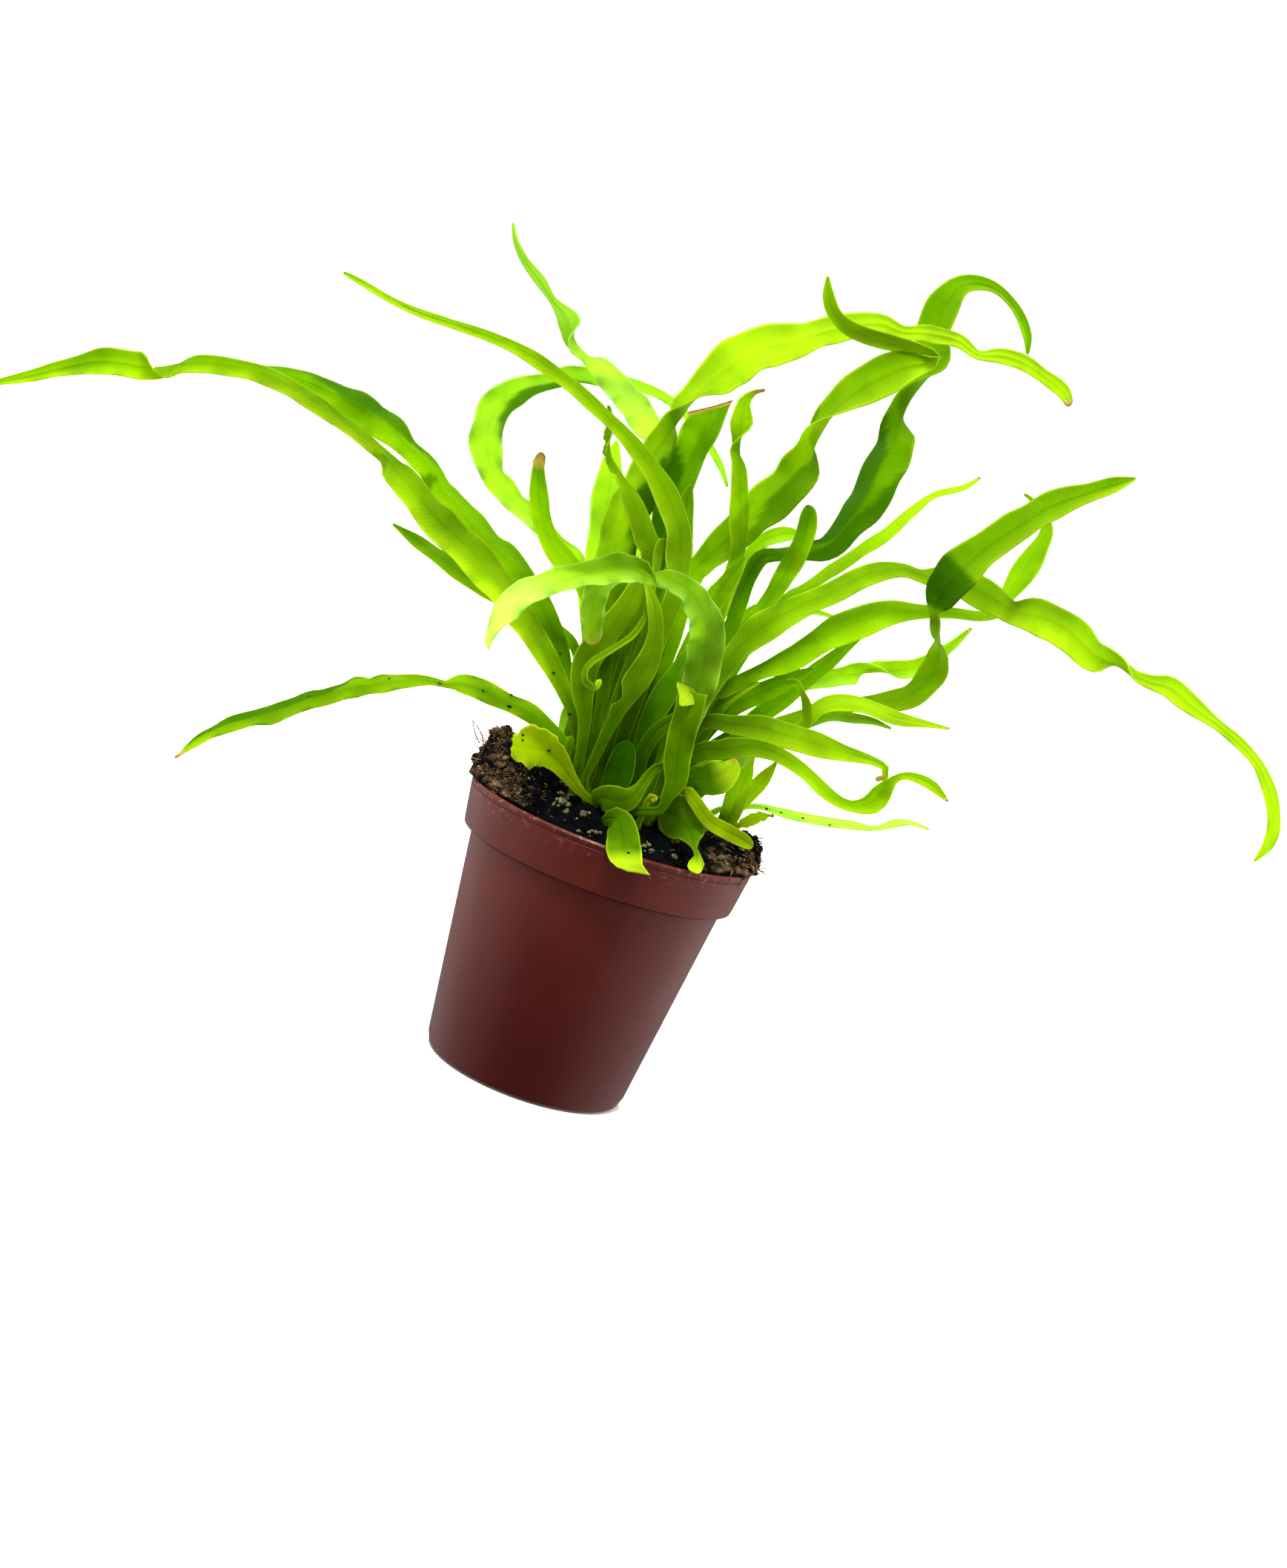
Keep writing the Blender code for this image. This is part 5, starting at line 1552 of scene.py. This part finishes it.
    def add_grain(self, shape: bmesh.types.BMesh, place: Vector, size: float,
                  chance: random.Random, flat: float = 0.7) -> None:
        """Adds one rough grain, half sunk where it lies.

        Args:
            shape: The bmesh that gets it.
            place: Where it lies.
            size: About its diameter.
            chance: The seeded source of chance.
            flat: Its height as a share of its width.
        """
        axis = Vector([chance.gauss(0, 1) for _ in range(3)]).normalized()
        turn = Quaternion(axis, chance.uniform(0, 6))
        made = bmesh.ops.create_icosphere(shape, subdivisions=1, radius=size / 2)["verts"]
        for vertex in made:
            vertex.co = turn @ Vector([c * chance.uniform(*self.rough) for c in vertex.co])
            vertex.co.z *= flat
            vertex.co += place

    def crumbs(self, finish: bpy.types.Material) -> bpy.types.Object:
        """Scatters peat crumbs, thickest on the lumps.

        Args:
            finish: The peat.

        Returns:
            The piece.
        """
        chance = random.Random(11)
        shape = bmesh.new()
        for patch, count, most in (
                (None, 480, 2.4), (GROUND.left_lump, 300, 2.8), (GROUND.right_lump, 240, 2.6),
                (GROUND.middle_lump, 80, 2), (self.brown_patch, 160, 2)):
            for place in self.scattered(chance, count, patch):
                size = min(0.5 + chance.expovariate(1.7), most)
                self.add_grain(shape, place, size, chance, chance.uniform(0.6, 1.1))
        return finish_piece("peat_crumbs", shape, finish)

    def grit(self, finish: bpy.types.Material) -> bpy.types.Object:
        """Lays the pale perlite grains where the front view shows them, and a few more behind.

        Args:
            finish: The perlite.

        Returns:
            The piece.
        """
        chance = random.Random(23)
        shape = bmesh.new()
        for right, up, size in PERLITE_SEEN:
            place = self.on_view(right, up)
            place += (VIEW.eye - place).normalized() * size * 0.35
            for _ in range(5 if size > 1.2 else 2):
                nudge = Vector([chance.gauss(0, size * self.grit_nudge) for _ in range(3)])
                self.add_grain(shape, place + nudge, size * chance.uniform(0.4, 1.0), chance, 0.8)
        for place in self.scattered(chance, self.grit_behind, None):
            self.add_grain(shape, place, chance.uniform(0.5, 1.7), chance, 0.8)
        return finish_piece("perlite_grit", shape, finish)

    def add_thread(self, shape: bmesh.types.BMesh, points: list[Vector], thick: float) -> None:
        """Adds a fine tapering thread along points.

        Args:
            shape: The bmesh that gets it.
            points: The points it follows in millimetres.
            thick: Its diameter at the start.
        """
        last = len(points) - 1
        made = bmesh.ops.create_grid(shape, x_segments=4, y_segments=last, size=1.0)["verts"]
        for vertex in made:
            number = round((vertex.co.y + 1) / 2 * last)
            turn = (vertex.co.x + 1) * math.pi
            heading = points[min(number + 1, last)] - points[max(number - 1, 0)]
            side = heading.orthogonal().normalized()
            radius = 0.0 if number in (0, last) else thick / 2 * (1 - 0.6 * number / last)
            vertex.co = points[number] + Quaternion(heading, turn) @ side * radius

    def fibres(self, finish: bpy.types.Material) -> bpy.types.Object:
        """Lays peat fibres on the surface and lets them stick out over the rim at the lumps.

        Args:
            finish: The dead fibre.

        Returns:
            The piece.
        """
        chance = random.Random(37)
        shape = bmesh.new()
        for patch, count, stand in (
                (None, 200, 0.4), (GROUND.left_lump, 420, 0.9), (GROUND.right_lump, 320, 0.9),
                (GROUND.middle_lump, 60, 0.5), (self.brown_patch, 240, 0.5)):
            for place in self.scattered(chance, count, patch):
                heading = Vector([chance.gauss(0, 1), chance.gauss(0, 1), 0]).normalized()
                heading += Vector((place.x, place.y, 0)).normalized() * self.outwards
                heading.z = stand * chance.random()
                points = [place - Vector((0, 0, self.sunk))]
                for _ in range(4):
                    heading += Vector([chance.gauss(0, 0.45), chance.gauss(0, 0.45),
                                       chance.gauss(-0.12, 0.3)])
                    points.append(points[-1] + heading.normalized() * chance.uniform(0.3, 0.75))
                self.add_thread(shape, points, chance.uniform(0.16, 0.42))
        bmesh.ops.remove_doubles(shape, verts=shape.verts, dist=self.seam)
        return finish_piece("peat_fibres", shape, finish)

    def hair_roots(self, finish: bpy.types.Material) -> bpy.types.Object:
        """Adds the few long fine roots that hang over the rim or stand off the lumps.

        Args:
            finish: The root.

        Returns:
            The piece.
        """
        shape = bmesh.new()
        for route in HAIR_ROOTS:
            corners = [VIEW.placed(*point) for point in route]
            padded = [corners[0], *corners, corners[-1]]
            points = [between(tuple(padded[index : index + 4]), part / 4)
                      for index in range(len(corners) - 1) for part in range(4)]
            self.add_thread(shape, points + [corners[-1]], self.root_thick)
        bmesh.ops.remove_doubles(shape, verts=shape.verts, dist=self.seam)
        return finish_piece("hair_roots", shape, finish)


@dataclass(frozen=True)
class Speck:
    """A crumb of peat stuck to a blade: the blade's name, the place in the view, and its length."""

    blade: str
    right: float
    up: float
    size: float


SPECKS = (
    Speck("left_low", -28, 73, 1), Speck("left_low", -33.5, 71.8, 0.8),
    Speck("left_low", -27.5, 70.6, 1.3), Speck("left_low", -42.2, 70.3, 1.2),
    Speck("left_low", -52, 67.6, 0.7), Speck("left_low", -66, 58.8, 0.8),
    Speck("soil_lobed", -23, 66.2, 0.9), Speck("soil_lobed", -22.7, 65.2, 0.8),
    Speck("soil_lobed", -17, 65, 1), Speck("rim_tongue", 5, 51.2, 1),
    Speck("right_low_pale", 28, 69, 0.9), Speck("right_low_pale", 31, 69.3, 0.7),
    Speck("right_low_pale", 35.5, 69.7, 0.9), Speck("right_low_pale", 41, 70.3, 0.8),
    Speck("right_upright", 17.5, 79.4, 0.5), Speck("left_folded", -21.6, 84.1, 0.9),
    Speck("left_long", -21.5, 80, 1), Speck("left_long", -15.6, 73.3, 0.9),
    Speck("right_twisted", 17.4, 94.4, 0.6),
)


def add_specks(blades: dict[str, bpy.types.Object], bed: PeatBed,
               finish: bpy.types.Material) -> bpy.types.Object:
    """Sticks crumbs of peat to the blades.

    Args:
        blades: The blades by the name of their frond.
        bed: The peat, which makes the crumbs.
        finish: The peat.

    Returns:
        The piece.
    """
    bpy.context.view_layer.update()
    chance = random.Random(5)
    shape = bmesh.new()
    for speck in SPECKS:
        heading = (VIEW.placed(speck.right, speck.up, 0) - VIEW.eye).normalized()
        hit, place, *_ = blades[speck.blade].ray_cast(VIEW.eye * MM, heading)
        if hit:
            bed.add_grain(shape, place / MM, speck.size * 0.8, chance, 0.5)
        else:
            log.warning("no blade under the speck on %s at %s", speck.blade, speck.up)
    return finish_piece("leaf_specks", shape, finish)


@dataclass(frozen=True)
class Lamp:
    """A distant lamp: its name, the way its light goes, its strength and its spread in degrees."""

    name: str
    heading: tuple
    strength: float
    spread: float

    def hang(self, tone: str) -> None:
        """Adds the lamp to the scene.

        Args:
            tone: The colour of its light.
        """
        data = bpy.data.lights.new(self.name, "SUN")
        data.energy = self.strength
        data.angle = math.radians(self.spread)
        data.color = linear(tone)[:3]
        lamp = bpy.data.objects.new(self.name, data)
        lamp.rotation_euler = Vector(self.heading).to_track_quat("-Z", "Y").to_euler()
        bpy.context.scene.collection.objects.link(lamp)


@dataclass(frozen=True)
class Studio:
    """A white studio that is brightest behind the plant, with the viewer's camera.

    behind, in_front, beside and above are the strengths of the light from there, and backdrop is
    the strength that the camera sees. grade is the picture's gamma.
    """

    behind: float = 0.75
    in_front: float = 0.54
    beside: float = 1.5
    beside_from: float = 0.35
    above: float = 0.6
    above_from: float = 0.0
    backdrop: float = 1.05
    grade: float = 0.76
    floor_size: float = 3000.0
    sky: str = "#fffffc"
    paper: str = "#fefffa"
    floor_paper: str = "#f7f8f3"
    lamp_tone: str = "#fffdf2"
    lamps: tuple = (Lamp("back_light", (0.1, -1.0, -0.25), 6.0, 9.0),
                    Lamp("top_light", (0.15, 0.42, -1.0), 4.0, 25.0))

    def light(self) -> None:
        """Sets the world's light and hangs the lamps behind and above the plant."""
        world = bpy.data.worlds.new("studio")
        bpy.context.scene.world = world
        world.use_nodes = True
        tree = world.node_tree
        tree.nodes.clear()
        heading = add_node(tree, "TexCoord", {}, {}).outputs["Generated"]
        axes = add_node(tree, "SeparateXYZ", {}, {0: heading}).outputs
        strength = add_node(tree, "MapRange", {}, {
            "Value": axes[1], "From Min": -0.8, "From Max": 0.7,
            "To Min": self.in_front, "To Max": self.behind}).outputs[0]
        aside = add_node(tree, "Math", SIZE_ONLY, {0: axes[0]}).outputs[0]
        for axis, start, gain in ((aside, self.beside_from, self.beside),
                                  (axes[2], self.above_from, self.above)):
            more = add_node(tree, "MapRange", EASED, {
                "Value": axis, "From Min": start, "From Max": 0.9, "To Max": gain}).outputs[0]
            strength = add_node(tree, "Math", {"operation": "ADD"}, {
                0: strength, 1: more}).outputs[0]
        around = add_node(tree, "Background", {}, {0: linear(self.sky), 1: strength})
        seen = add_node(tree, "Background", {}, {0: linear(self.paper), 1: self.backdrop})
        to_camera = add_node(tree, "LightPath", {}, {}).outputs["Is Camera Ray"]
        both = add_node(tree, "MixShader", {}, {
            0: to_camera, 1: around.outputs[0], 2: seen.outputs[0]})
        add_node(tree, "OutputWorld", {}, {0: both.outputs[0]})
        for lamp in self.lamps:
            lamp.hang(self.lamp_tone)
        bpy.context.scene.view_settings.view_transform = "Standard"
        bpy.context.scene.view_settings.gamma = self.grade

    def floor(self) -> None:
        """Lays the pale floor."""
        shape = bmesh.new()
        bmesh.ops.create_grid(shape, x_segments=1, y_segments=1, size=self.floor_size)
        floor = add_model("floor", shape)
        made, tree = new_material("floor_paper")
        surface = add_node(tree, "BsdfPrincipled", {}, {
            "Base Color": linear(self.floor_paper), "Roughness": 0.8})
        add_node(tree, "OutputMaterial", {}, {0: surface.outputs[0]})
        floor.data.materials.append(made)
        floor.visible_diffuse = False
        floor.visible_glossy = False
        floor.visible_transmission = False

    def camera(self) -> None:
        """Puts the camera where the viewer stands, rolled as the pot leans in the view."""
        data = bpy.data.cameras.new("view")
        data.lens = VIEW.lens
        data.sensor_fit = "VERTICAL"
        data.sensor_height = VIEW.sensor
        data.clip_start = 0.01
        right = Vector((1, 0, 0))
        up = right * -math.sin(VIEW.roll) + VIEW.plane_up * math.cos(VIEW.roll)
        across = right * math.cos(VIEW.roll) + VIEW.plane_up * math.sin(VIEW.roll)
        place = Matrix((across, up, -VIEW.sight)).transposed().to_4x4()
        place.translation = VIEW.eye * MM
        camera = bpy.data.objects.new("view", data)
        bpy.context.scene.collection.objects.link(camera)
        camera.matrix_world = place
        bpy.context.scene.camera = camera


def main() -> None:
    """Builds the dressed plant and its studio, piece by piece."""
    logging.basicConfig(level=logging.INFO, format="%(name)s %(message)s")
    pot = NurseryPot()
    pot.build(PotFinish().make())
    peat, fibre, perlite = (finish.make() for finish in GROUND_FINISHES)
    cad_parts["root_ball"].data.materials.clear()
    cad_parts["root_ball"].data.materials.append(peat)
    bed = PeatBed(pot)
    bed.surface(peat)
    bed.crumbs(peat)
    bed.grit(perlite)
    bed.fibres(fibre)
    bed.hair_roots(fibre)
    finishes = {finish.kind: finish.make() for finish in LEAF_FINISHES}
    blades = {}
    for seed, frond in enumerate(FRONDS + SMALL_FRONDS):
        blades[frond.name] = Blade(frond, DRESSES.get(frond.name, Dress()), seed).build(finishes)
    add_specks(blades, bed, peat)
    studio = Studio()
    studio.light()
    studio.floor()
    studio.camera()


if __name__ == "__main__":
    main()
